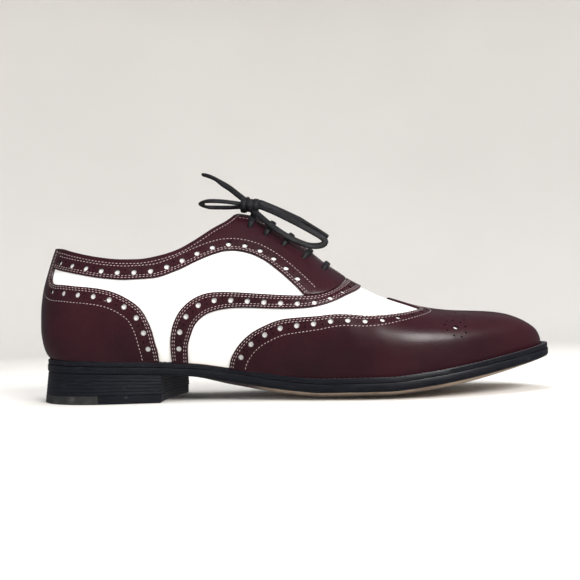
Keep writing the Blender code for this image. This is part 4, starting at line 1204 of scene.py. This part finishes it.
def make_panels():
    """The dark overlays, their stitches and the shadows in their pinholes."""
    shapes = {"heel_counter": [], "wing_cap": [], "vamp_strap": []}
    bands, rows, pits = {}, [], []
    for side in SIDES:
        top = OVERLAY_TOP - 0.00004

        def brogue(line, distance, first, spacing=HOLE_SPACING):
            big, small = brogue_row(side, offset(side, line, distance), first, spacing)
            pits.extend((side, p, PIN * 1.2, OVERLAY_UNDER - 0.00002) for p in small)
            return [(p, HOLE) for p in big] + [(p, PIN) for p in small]

        outline, line = counter_shape(side)
        curved = line[line[:, 1] < 0.56]
        shapes["heel_counter"].append((side, outline, [line], brogue(curved, EDGE_HOLES, 0.0075)))
        rows += [(side, offset(side, line, d, 2), top) for d in (EDGE_STITCH, SECOND_STITCH)]
        rows.append((side, offset(side, curved, INNER_STITCH), top))

        outline, line = wing_shape(side)
        holes = brogue(line, WING_HOLES, 0.0075) + medallion(side)
        shapes["wing_cap"].append((side, outline, [line], holes))
        rows += [(side, offset(side, line, -d, 2), top) for d in (EDGE_STITCH, SECOND_STITCH)]
        rows.append((side, offset(side, line, WING_INNER_STITCH), top))

        outline, outer, inner = strap_shape(side)
        shapes["vamp_strap"].append((side, outline, [outer, inner], brogue(outer, -STRAP_HOLES, 0.0070)))
        rows += [(side, offset(side, outer, -d, 2), top) for d in (EDGE_STITCH, SECOND_STITCH)]
        rows += [(side, offset(side, inner, d, 2), top) for d in (EDGE_STITCH, SECOND_STITCH)]

        outline, lower, strap, strip, edge = band_shape(side)
        holes = brogue(lower, BAND_HOLES, 0.0040)
        eyelets = [path[-1] for path in lace_places(side)]
        holes += [(p, EYELET) for p in eyelets]
        pits.extend((side, p, EYELET * 1.25, OVERLAY_UNDER - 0.00002) for p in eyelets)
        bands[side] = (side, outline, [lower, strap, strip, edge], holes)
        rows += [(side, offset(side, lower, d, 2), top) for d in (EDGE_STITCH, SECOND_STITCH)]
        rows.append((side, offset(side, lower, STRIP), top))
        rows.append((side, offset(side, edge[edge[:, 0] <= TOP_TURN], -COLLAR_STITCH), top))
        rows.append((side, offset(side, edge[edge[:, 0] >= TOP_TURN], -SLIT_STITCH), top))
    make_overlay("heel_counter_panel", "heel_counter", shapes["heel_counter"])
    make_overlay("wing_cap_panel", "wing_cap", shapes["wing_cap"])
    make_overlay("vamp_strap_panel", "vamp_strap", shapes["vamp_strap"])
    make_overlay("facing_lateral_panel", "facing_lateral", [bands[LATERAL]])
    make_overlay("facing_medial_panel", "facing_medial", [bands[MEDIAL]])
    stitches("pattern_stitches", rows)
    discs("pinhole_shadows", pits, "pit")


# Tubes
def tube(centres, across, over, profile, closed=False):
    """A tube of a profile along centres, with both directions given at each."""
    rows = len(profile)
    points = [c + a * u + o * v for c, a, o in zip(centres, across, over) for u, v in profile]
    faces = []
    count = len(centres)
    for k in range(count if closed else count - 1):
        low, high = k * rows, (k + 1) % count * rows
        for s in range(rows):
            n = (s + 1) % rows
            faces.append((low + s, low + n, high + n, high + s))
    if not closed:
        faces.append(tuple(range(rows))[::-1])
        faces.append(tuple((count - 1) * rows + s for s in range(rows)))
    return points, faces


def oval(width, thickness, count=14, power=2.6):
    """A flattened round profile."""
    result = []
    for k in range(count):
        angle = 2 * math.pi * k / count
        c, s = math.cos(angle), math.sin(angle)
        result.append((width / 2 * math.copysign(abs(c) ** (2 / power), c),
                       thickness / 2 * math.copysign(abs(s) ** (2 / power), s)))
    return result


def collar_edge():
    """The turned edge of the collar, over the upper, its overlay and lining."""
    halves = []
    for side in SIDES:
        edge = opening_edge(side, 0.0, 0.602)
        point, tangent, left, normal = frames(side, edge)
        middle = (OVERLAY_TOP - WALL) / 2
        halves.append((point + normal * middle - left * 0.0006, left, normal))
    centres = np.vstack([halves[0][0][::-1], halves[1][0][1:]])
    up = np.vstack([halves[0][1][::-1], halves[1][1][1:]])
    out = np.vstack([halves[0][2][::-1], halves[1][2][1:]])
    for _ in range(3):
        for array in (centres, up, out):
            array[1:-1] = (array[:-2] + 2 * array[1:-1] + array[2:]) / 4
    thickness = OVERLAY_TOP + WALL + 0.0001
    profile = [(x, -y) for y, x in oval(thickness, 0.0022, 12, 2.2)]
    points, faces = tube(centres, up, out, profile)
    put("collar_edge", points, faces, ["dark"], sharp=60.0)


def tidy_normals(piece):
    """Makes a closed piece's faces point outwards."""
    mesh = bmesh.new()
    mesh.from_mesh(piece.data)
    bmesh.ops.recalc_face_normals(mesh, faces=mesh.faces)
    mesh.to_mesh(piece.data)
    mesh.free()
    return piece


# Tongue
TONGUE_SHAPE = ((0.350, 0.012, 0.0060), (0.375, 0.022, 0.0035), (0.410, 0.023, 0.0),
                (0.450, 0.025, 0.0), (0.606, 0.017, 0.0))


def make_tongue():
    runs, reaches, sinks = [np.array(column) for column in zip(*TONGUE_SHAPE)]
    turns = np.linspace(float(turn_of(runs[0])), float(turn_of(runs[-1])), 44)
    steps = 14
    outer, inner = [], []
    for turn in turns:
        run = float(run_of(turn))
        reach = float(np.interp(run, runs, reaches))
        sink = WALL + TONGUE_CLEARANCE + float(np.interp(run, runs, sinks))
        for k in range(-steps, steps + 1):
            side = LATERAL if k < 0 else MEDIAL
            section = SKIN[side].at(np.full(GRID_SHARES, turn), SKIN[side].shares)[::-1]
            length = np.concatenate([[0], np.cumsum(np.linalg.norm(np.diff(section, axis=0), axis=1))])
            share = np.interp(reach * abs(k) / steps, length, SKIN[side].shares[::-1])
            round_edge = 0.0006 * max(0, abs(k) / steps - 0.9) * 10
            point = SKIN[side].at(turn, share, -sink - round_edge)
            outer.append(point)
            inner.append(point - (TONGUE - 2 * round_edge) * SKIN[side].normal(turn, share))
    faces = grid_faces(len(turns), 2 * steps + 1, False)
    points, closed, _ = shell(np.array(outer), np.array(inner), faces)
    tidy_normals(put("tongue_leather", points, closed, ["dark"], ["tongue"]))


# Sole, welt, insole and heel
LOOP_TURNS = np.linspace(0, math.pi, 150)


def loop_at(inset, base):
    """A closed plan outline, an inset from base, which is an offset from the sole's edge."""
    halves = []
    for side in SIDES:
        if base is None:
            halves.append(plan_line(LOOP_TURNS, side, 0.0, -inset))
        else:
            halves.append(plan_line(LOOP_TURNS, side, 1.0, base - inset))
    return halves


def crosswise(halves, steps):
    """Rows of plan points between the two halves of an outline."""
    shares = (1 - np.cos(np.linspace(0, math.pi, steps + 1))) / 2
    return halves[0][:, None] * (1 - shares[None, :, None]) + halves[1][:, None] * shares[None, :, None]


def sole_slab(name, nodes, base, low, profile, looks, steps=20):
    """A slab over the sole's underside: profile rows hold inset and height, bottom to top."""
    rings = []
    for inset, height in profile:
        halves = loop_at(inset, base)
        loop = np.vstack([halves[0], halves[1][::-1][1:-1]])
        z = low(loop[:, 0], loop[:, 1]) + height
        rings.append(np.column_stack([loop, z]))
    size = len(rings[0])
    points = list(np.vstack(rings))
    faces, which = [], []
    for r in range(len(rings) - 1):
        for k in range(size):
            n = (k + 1) % size
            faces.append((r * size + k, r * size + n, (r + 1) * size + n, (r + 1) * size + k))
            which.append(0)
    for ring_number, flip, look in ((0, True, 1), (len(rings) - 1, False, 0)):
        inset, height = profile[ring_number]
        rows = crosswise(loop_at(inset, base), steps)
        z = low(rows[..., 0], rows[..., 1]) + height
        start = len(points)
        points += list(np.concatenate([rows, z[..., None]], -1).reshape(-1, 3))
        new = grid_faces(len(LOOP_TURNS), steps + 1, flip)
        faces += [tuple(k + start for k in face) for face in new]
        which += [look] * len(new)
    return weld_piece(name, points, faces, looks, nodes, which)


def weld_piece(name, points, faces, looks, nodes, which):
    """Puts a piece whose seams are joined, keeping each face's look."""
    index, count, _ = welded(np.array(points), [])
    places = averaged(np.array(points), index, count)
    kept, looks_kept = [], []
    for face, look in zip(faces, which):
        corners = []
        for k in face:
            if not corners or index[k] != corners[-1]:
                corners.append(int(index[k]))
        if corners[0] == corners[-1]:
            corners.pop()
        if len(set(corners)) > 2:
            kept.append(tuple(corners))
            looks_kept.append(look)
    return tidy_normals(put(name, places, kept, looks, nodes, looks_kept))


def make_sole():
    under = [(0.0022, 0.0), (0.0007, 0.0001), (0.00015, 0.0006), (0.0, 0.0012), (0.0, OUTSOLE - 0.0006),
             (0.0002, OUTSOLE - 0.0001), (0.0006, OUTSOLE)]
    sole_slab("outsole_leather", ["outsole"], 0.0, sole_under, under, ["edge", "sole"])
    make_welt()
    top = WELT + INSOLE_STEP
    profile = [(0.0, 0.0), (0.0, top - 0.0008), (0.0003, top - 0.0002), (0.001, top)]
    sole_slab("insole_sock", ["insole"], None, over_outsole, profile, ["lining", "lining"])


def over_outsole(x, y):
    return sole_under(x, y) + OUTSOLE + GAP


def make_welt():
    """A ring under the upper's edge, with a rounded top edge for the stitches of welt_stitches()."""
    rings = [(WELT_STEP, 0.0), (WELT_STEP - 0.0001, WELT - 0.0008), (WELT_STEP + 0.0002, WELT - 0.0002),
             (WELT_STEP + 0.0008, WELT)]
    points, size = [], 2 * len(LOOP_TURNS) - 2
    inner = [(WELT_SEAT, WELT), (WELT_SEAT, 0.0)]
    levels = [loop_at(inset, 0.0) + [height] for inset, height in rings]
    levels += [loop_at(inset, None) + [height] for inset, height in inner]
    for lateral, medial, height in levels:
        loop = np.vstack([lateral, medial[::-1][1:-1]])
        points += list(np.column_stack([loop, over_outsole(loop[:, 0], loop[:, 1]) + height]))
    faces = []
    count = len(levels)
    for r in range(count):
        low, high = r * size, (r + 1) % count * size
        for k in range(size):
            n = (k + 1) % size
            faces.append((low + k, low + n, high + n, high + k))
    tidy_normals(put("welt_strip", points, faces, ["edge"], ["welt"]))


def heel_outline(inset):
    """The heel block seen from above, with its hollow breast."""
    halves = []
    for side, front in ((LATERAL, HEEL_LENGTH_LATERAL), (MEDIAL, HEEL_LENGTH_MEDIAL)):
        line = plan_line(DENSE, side, 1.0, -inset)
        reach = line[:, 0] <= front
        part = np.vstack([line[reach], [[front, np.interp(front, line[:, 0], line[:, 1])]]])
        halves.append(part)
    a, b = halves[0][-1], halves[1][-1]
    shares = np.linspace(0, 1, 14)[1:-1]
    breast = a[None] * (1 - shares[:, None]) + b[None] * shares[:, None]
    breast[:, 0] -= BREAST_HOLLOW * np.sin(math.pi * shares)
    return np.vstack([halves[0], breast, halves[1][::-1][:-1]])


def shrunk(outline, amount):
    """An outline moved in by an amount along its mean normals."""
    ahead = np.roll(outline, -1, 0) - outline
    ahead /= np.linalg.norm(ahead, axis=1)[:, None]
    normal = np.stack([-ahead[:, 1], ahead[:, 0]], -1)
    mean = normal + np.roll(normal, 1, 0)
    mean /= np.maximum((mean * mean).sum(1), 0.6)[:, None] / 2
    return outline + amount * mean


def block(name, nodes, rings, looks, under=None, slope=False):
    """A closed stack of outlines with their heights, flat or sloping with the seat."""
    size = len(rings[0][0])
    points = np.array([(x, y, z) for outline, z in rings for x, y in outline])
    if slope:
        share = (points[:, 2] - TOP_PIECE) / (HEEL_STACK - TOP_PIECE)
        points[:, 2] = TOP_PIECE + share * (sole_under(points[:, 0], 0 * share) - TOP_PIECE)
    faces = []
    for r in range(len(rings) - 1):
        for k in range(size):
            n = (k + 1) % size
            faces.append((r * size + k, r * size + n, (r + 1) * size + n, (r + 1) * size + k))
    faces.append(tuple(range(size))[::-1])
    faces.append(tuple((len(rings) - 1) * size + k for k in range(size)))
    which = [0] * len(faces)
    if under is not None:
        which[-2] = under
    return tidy_normals(put(name, points, faces, looks, nodes, which))


def heel_inset(height):
    return SEAT_INSET - HEEL_FLARE * (1 - height / HEEL_STACK)


LAYERS_PER_LIFT = 2
LAYER_GROOVE = 0.00010


def layer_rings(low, high, outline_at, groove=LAYER_GROOVE):
    edge = 0.00035
    return [(shrunk(outline_at(low), groove * 2), low), (outline_at(low), low + edge),
            (outline_at(high), high - edge), (shrunk(outline_at(high), groove * 2), high)]


def make_heel():
    def outline_at(height):
        return heel_outline(heel_inset(height))

    for k in range(LIFTS):
        low = TOP_PIECE + k * (LIFT + GAP)
        high = low + LIFT + GAP
        rings = []
        for n in range(LAYERS_PER_LIFT):
            start = low + (high - low) * n / LAYERS_PER_LIFT
            end = low + (high - low) * (n + 1) / LAYERS_PER_LIFT
            rings += layer_rings(start + 0.00003, end, outline_at)
        rings[-1] = (rings[-1][0], high - 0.00002)
        block("heel_stack_%d" % (k + 1), ["heel_lift_%d" % (k + 1)], rings, ["edge"],
              slope=True)
    make_top_piece(outline_at)


def make_top_piece(outline_at):
    """Black rubber at the outer back, tan leather in front, joined on a slant."""
    for name, node, look, slot, ahead in (
            ("heel_top_rubber", "top_piece_rubber", "rubber", "heel_rubber", False),
            ("heel_top_leather", "top_piece_leather", "edge", "sole_leather", True)):
        rings = []
        for inset, z in ((0.0005, 0.0), (0.0, 0.0005), (0.0, TOP_PIECE - 0.0003), (0.0003, TOP_PIECE)):
            rings.append((cut_outline(shrunk(outline_at(z), inset), ahead), z))
        looks = [look, "top_leather"] if ahead else [look]
        block(name, [node], rings, looks, 1 if ahead else None)


def cut_outline(outline, ahead):
    """The part of the heel's outline before or behind the slanted joint."""
    lateral = edge_y(RUBBER_JOINT_LATERAL, LATERAL)
    medial = edge_y(RUBBER_JOINT_MEDIAL, MEDIAL)

    def beyond(point):
        share = (point[1] - lateral) / (medial - lateral)
        joint = RUBBER_JOINT_LATERAL + (RUBBER_JOINT_MEDIAL - RUBBER_JOINT_LATERAL) * share
        return point[0] - joint - (0.0001 if ahead else 0.0)

    kept = []
    for a, b in zip(outline, np.roll(outline, -1, 0)):
        da, db = beyond(a), beyond(b)
        if (da > 0) == ahead:
            kept.append(a)
        if (da > 0) != (db > 0):
            kept.append(a + (b - a) * da / (da - db))
    kept = np.array(kept)
    start = int(np.argmax([np.linalg.norm(b - a) for a, b in zip(np.roll(kept, 1, 0), kept)]))
    kept = np.roll(kept, -start, 0)
    length = np.concatenate([[0], np.cumsum(np.linalg.norm(np.diff(kept, axis=0), axis=1))])
    wanted = np.linspace(0, length[-1], 90)
    return np.stack([np.interp(wanted, length, kept[:, k]) for k in (0, 1)], -1)


def welt_stitches():
    """Black lockstitch along the top of the welt."""
    points, faces = [], []
    for side in SIDES:
        turns = np.linspace(0.02, math.pi - 0.02, 900)
        line = plan_line(turns, side, 1.0, -0.0019)
        length = np.concatenate([[0], np.cumsum(np.linalg.norm(np.diff(line, axis=0), axis=1))])
        count = int(length[-1] / 0.0029)
        wanted = np.linspace(0, length[-1], count + 1)
        even = np.stack([np.interp(wanted, length, line[:, k]) for k in (0, 1)], -1)
        z = over_outsole(even[:, 0], even[:, 1]) + WELT + 0.0001
        centre = np.column_stack([even, z])
        for a, b in zip(centre, centre[1:]):
            along = (b - a) / np.linalg.norm(b - a)
            across = np.cross((0, 0, 1), along)
            over = np.cross(along, across)
            middle = (a + b) / 2
            stops = [middle + along * t for t in (-0.0012, -0.0009, 0.0, 0.0009, 0.0012)]
            swells = (0.3, 0.9, 1.0, 0.9, 0.3)
            start = len(points)
            for stop, swell in zip(stops, swells):
                for u, v in oval(0.0008 * swell, 0.0006 * swell, 6, 2.0):
                    points.append(stop + across * u + over * v)
            for r in range(4):
                for s in range(6):
                    n = (s + 1) % 6
                    low, high = start + r * 6, start + (r + 1) * 6
                    faces.append((low + s, low + n, high + n, high + s))
            faces.append(tuple(start + s for s in range(6))[::-1])
            faces.append(tuple(start + 24 + s for s in range(6)))
    tidy_normals(put("welt_stitches", points, faces, ["black_thread"], sharp=80.0))


# Laces
STRAND_WIDTH = 0.0040
STRAND = 0.0019
BAR_WIDTH = 0.0040
BAR = 0.0018


def make_bars():
    """Flat strands over the ridge, from an eyelet on each side."""
    lateral, medial = lace_places(LATERAL), lace_places(MEDIAL)
    for k in range(len(LACE_ROWS)):
        centres, outs = [], []
        for side, path in ((LATERAL, lateral[k][::-1]), (MEDIAL, medial[k][1:])):
            for place in path:
                centres.append(SKIN[side].at(*place))
                outs.append(SKIN[side].normal(*place))
        centres, outs = np.array(centres), np.array(outs)
        fine = np.linspace(0, len(centres) - 1, 60)
        centres = np.stack([np.interp(fine, np.arange(len(centres)), centres[:, c]) for c in range(3)], -1)
        outs = np.stack([np.interp(fine, np.arange(len(outs)), outs[:, c]) for c in range(3)], -1)
        for _ in range(4):
            centres[1:-1] = (centres[:-2] + 2 * centres[1:-1] + centres[2:]) / 4
            outs[1:-1] = (outs[:-2] + 2 * outs[1:-1] + outs[2:]) / 4
        outs /= np.linalg.norm(outs, axis=1)[:, None]
        span = np.linspace(-1, 1, len(centres))
        dip = np.clip((1 - np.abs(span)) / 0.16, 0, 1)
        lift = -0.0004 + (OVERLAY_TOP + BAR * 0.55 + 0.0004) * np.sin(dip * math.pi / 2)
        middle = centres + outs * lift[:, None]
        tangent = np.gradient(middle, axis=0)
        tangent /= np.linalg.norm(tangent, axis=1)[:, None]
        across = np.cross(outs, tangent)
        across /= np.linalg.norm(across, axis=1)[:, None]
        over = np.cross(tangent, across)
        width = 0.66 + 0.34 * np.sin(np.clip((1 - np.abs(span)) / 0.45, 0, 1) * math.pi / 2)
        points, faces = tube(middle, across * width[:, None], over, oval(BAR_WIDTH, BAR))
        name = "lace_row_%d" % (k + 1)
        tidy_normals(put(name, points, faces, ["lace"], ["lace_bar_%d" % (k + 1)], sharp=60.0))


def smooth_route(route, spacing):
    """Even points along a Catmull-Rom curve through a route."""
    route = np.array(route)
    ends = np.vstack([2 * route[0] - route[1], route, 2 * route[-1] - route[-2]])
    fine = []
    for a, b, c, d in zip(ends, ends[1:], ends[2:], ends[3:]):
        for k in range(12):
            t = k / 12
            fine.append(0.5 * (2 * b + (c - a) * t + (2 * a - 5 * b + 4 * c - d) * t ** 2
                               + (3 * b - a - 3 * c + d) * t ** 3))
    fine = np.array(fine + [route[-1]])
    length = np.concatenate([[0], np.cumsum(np.linalg.norm(np.diff(fine, axis=0), axis=1))])
    wanted = np.linspace(0, length[-1], max(int(length[-1] / spacing), 4) + 1)
    return np.stack([np.interp(wanted, length, fine[:, k]) for k in range(3)], -1)


def ribbon_frames(points, facing):
    """Directions of a flat strand whose flat side faces one way as far as it can."""
    tangent = np.gradient(points, axis=0)
    tangent /= np.linalg.norm(tangent, axis=1)[:, None]
    facing = np.broadcast_to(np.asarray(facing, float), points.shape)
    over = facing - (facing * tangent).sum(1)[:, None] * tangent
    over /= np.maximum(np.linalg.norm(over, axis=1), 1e-6)[:, None]
    for _ in range(8):
        over[1:-1] = (over[:-2] + 2 * over[1:-1] + over[2:]) / 4
        over -= (over * tangent).sum(1)[:, None] * tangent
        over /= np.linalg.norm(over, axis=1)[:, None]
    return np.cross(over, tangent), over


LACE_FACING = {"lace_loop_rear": (0.0, -0.55, 0.84), "lace_loop_front": (0.35, -0.85, 0.40),
               "lace_end_rear": (0.3, -0.9, 0.3), "lace_end_front": (0.2, -0.8, 0.6)}
FREE_ENDS = ("lace_end_rear", "lace_end_front")


def make_bow():
    """Two loops and two waxed ends, each a free length of flat lace."""
    knot = make_knot()
    for name, route in LACE_ROUTES.items():
        points = smooth_route(route, 0.0011)
        free = name in FREE_ENDS
        inside = np.array(KNOT_AT) + 0.45 * (points[0] - np.array(KNOT_AT))
        ends = [inside[None], points]
        if not free:
            ends.append(np.array(KNOT_AT)[None] + 0.45 * (points[-1:] - np.array(KNOT_AT)))
        points = np.vstack(ends)
        across, over = ribbon_frames(points, LACE_FACING[name])
        share = np.linspace(0, 1, len(points))
        width = np.ones(len(points))
        if name in FREE_ENDS:
            width = np.where(share > 0.62, 0.62, 1.0)
            for _ in range(6):
                width[1:-1] = (width[:-2] + 2 * width[1:-1] + width[2:]) / 4
            width[-2:] *= (0.9, 0.6)
        thick = np.where(width < 0.8, 1.15, 1.0)
        across, over = across * width[:, None], over * thick[:, None]
        vertices, faces = tube(points, across, over, oval(STRAND_WIDTH, STRAND))
        piece = put(name.replace("lace_", "bow_"), vertices, faces, ["lace"], [name],
                    sharp=60.0)
        tidy_normals(piece)


def make_knot():
    """The bow's knot: a soft core under three wraps of the lace."""
    centre = np.array(KNOT_AT)
    points, faces = [], []

    def add(new_points, new_faces):
        start = len(points)
        points.extend(new_points)
        faces.extend(tuple(k + start for k in face) for face in new_faces)

    angles = np.linspace(0, 2 * math.pi, 48, endpoint=False)
    half = np.array(KNOT_SIZE)
    for tilt, shift, swell, width in ((0.10, -0.0034, 0.98, 0.0040), (-0.55, 0.0002, 1.12, 0.0046),
                                      (0.15, 0.0038, 0.94, 0.0038)):
        axis = np.array((math.cos(tilt), 0.0, -math.sin(tilt)))
        up = np.array((math.sin(tilt), 0.0, math.cos(tilt)))
        side = np.array((0.0, 1.0, 0.0))
        out = np.array([side * math.cos(a) + up * math.sin(a) for a in angles])
        reach = np.array((half[1] * swell, half[2] * swell))
        ring_points = np.array([centre + axis * shift + side * reach[0] * math.cos(a)
                                + up * reach[1] * math.sin(a) for a in angles])
        along = np.broadcast_to(axis, out.shape)
        add(*tube(ring_points, along, out, oval(width, 0.0018), closed=True))
    mesh = bmesh.new()
    bmesh.ops.create_uvsphere(mesh, u_segments=28, v_segments=18, radius=1.0)
    core = [centre + np.array(v.co) * half * (1.12, 1.0, 1.0) for v in mesh.verts]
    mesh.verts.ensure_lookup_table()
    core_faces = [tuple(v.index for v in f.verts) for f in mesh.faces]
    mesh.free()
    add(core, core_faces)
    return tidy_normals(put("bow_knot", points, faces, ["lace"], ["lace_knot"], sharp=60.0))


# Camera, light and ground
CAMERA_AT = (0.1096, -0.4928, 0.0479)
CAMERA_YAW = 1.18
CAMERA_PITCH = 8.98
CAMERA_ROLL = 1.68
PHOTO_FOCAL = 854.9
FRAME_PIXELS = 580
SHOE_CENTRE_PIXEL = (303.0, 396.0)
FRAMING = 0.93
SENSOR = 36.0


def camera_axes():
    """Right, forward and up of the photograph's camera."""
    yaw, pitch, roll = (math.radians(a) for a in (CAMERA_YAW, CAMERA_PITCH, CAMERA_ROLL))
    right = Vector((math.cos(yaw), math.sin(yaw), 0))
    ahead = Vector((-math.sin(yaw) * math.cos(pitch), math.cos(yaw) * math.cos(pitch), math.sin(pitch)))
    up = right.cross(ahead)
    return (math.cos(roll) * right - math.sin(roll) * up, ahead, math.sin(roll) * right + math.cos(roll) * up)


def make_camera():
    right, ahead, up = camera_axes()
    half = FRAME_PIXELS / 2
    aim = ahead * PHOTO_FOCAL + right * (SHOE_CENTRE_PIXEL[0] - half) - up * (SHOE_CENTRE_PIXEL[1] - half)
    aim.normalize()
    right = (right - aim * right.dot(aim)).normalized()
    up = right.cross(aim)
    data = bpy.data.cameras.new("camera")
    data.lens = PHOTO_FOCAL * FRAMING / FRAME_PIXELS * SENSOR
    data.sensor_width = SENSOR
    data.clip_start = 0.01
    camera = bpy.data.objects.new("camera", data)
    camera.matrix_world = Matrix.Translation(CAMERA_AT) @ Matrix((right, up, -aim)).transposed().to_4x4()
    bpy.context.scene.collection.objects.link(camera)
    bpy.context.scene.camera = camera


def area_light(name, place, target, size, power, colour=(1, 1, 1), mirrored=True):
    data = bpy.data.lights.new(name, "AREA")
    data.shape = "RECTANGLE"
    data.size, data.size_y = size
    data.energy = power
    data.color = colour
    light = bpy.data.objects.new(name, data)
    light.location = place
    light.rotation_euler = (Vector(target) - Vector(place)).to_track_quat("-Z", "Y").to_euler()
    light.visible_glossy = mirrored
    bpy.context.scene.collection.objects.link(light)


def make_ground():
    """A pale floor that curves up all round into a plain wall."""
    look = Look("pale_ground", Roughness=0.6)
    colour = look.mix(look.ramp(look.noise(1.5), 0.3, 0.7), (0.80, 0.785, 0.765), (0.76, 0.745, 0.725))
    look.finish(colour)
    MATERIALS["ground"] = look.material
    floor, curve, height, sides = 0.75, 0.75, 3.0, 96
    profile = [(floor + curve * math.sin(a), curve * (1 - math.cos(a)))
               for a in np.linspace(0, math.pi / 2, 20)]
    profile.append((floor + curve, height))
    points = [(0.1, 0.0, 0.0)]
    for reach, z in profile:
        for k in range(sides):
            angle = 2 * math.pi * k / sides
            points.append((0.1 + reach * math.cos(angle), reach * math.sin(angle), z))
    faces = [(0, 1 + k, 1 + (k + 1) % sides) for k in range(sides)]
    for r in range(len(profile) - 1):
        low, high = 1 + r * sides, 1 + (r + 1) * sides
        for k in range(sides):
            n = (k + 1) % sides
            faces.append((low + k, high + k, high + n, low + n))
    data = bpy.data.meshes.new("ground")
    data.from_pydata(points, [], faces)
    data.materials.append(look.material)
    data.shade_smooth()
    ground = bpy.data.objects.new("ground", data)
    ground.visible_glossy = False
    bpy.context.scene.collection.objects.link(ground)


def make_lights():
    centre = (0.10, 0.0, 0.05)
    area_light("window", (0.60, -0.75, 0.70), centre, (0.55, 0.5), 15.0, (1.0, 0.985, 0.96))
    area_light("ceiling", (0.15, 0.05, 1.10), centre, (0.9, 0.8), 11.0, mirrored=False)
    area_light("fill", (-0.75, -0.55, 0.45), centre, (0.45, 0.45), 3.5, (0.96, 0.98, 1.0), mirrored=False)
    world = bpy.data.worlds.new("pale_room")
    world.use_nodes = True
    world.node_tree.nodes["Background"].inputs[0].default_value = (0.95, 0.96, 1.0, 1)
    world.node_tree.nodes["Background"].inputs[1].default_value = 0.16
    bpy.context.scene.world = world
    bpy.context.scene.view_settings.view_transform = "Standard"


make_camera()
make_bow()
make_upper()
make_panels()
tidy_normals(bpy.data.objects["pattern_stitches"])
collar_edge()
tidy_normals(bpy.data.objects["collar_edge"])
make_tongue()
make_sole()
make_heel()
welt_stitches()
make_bars()
make_ground()
make_lights()
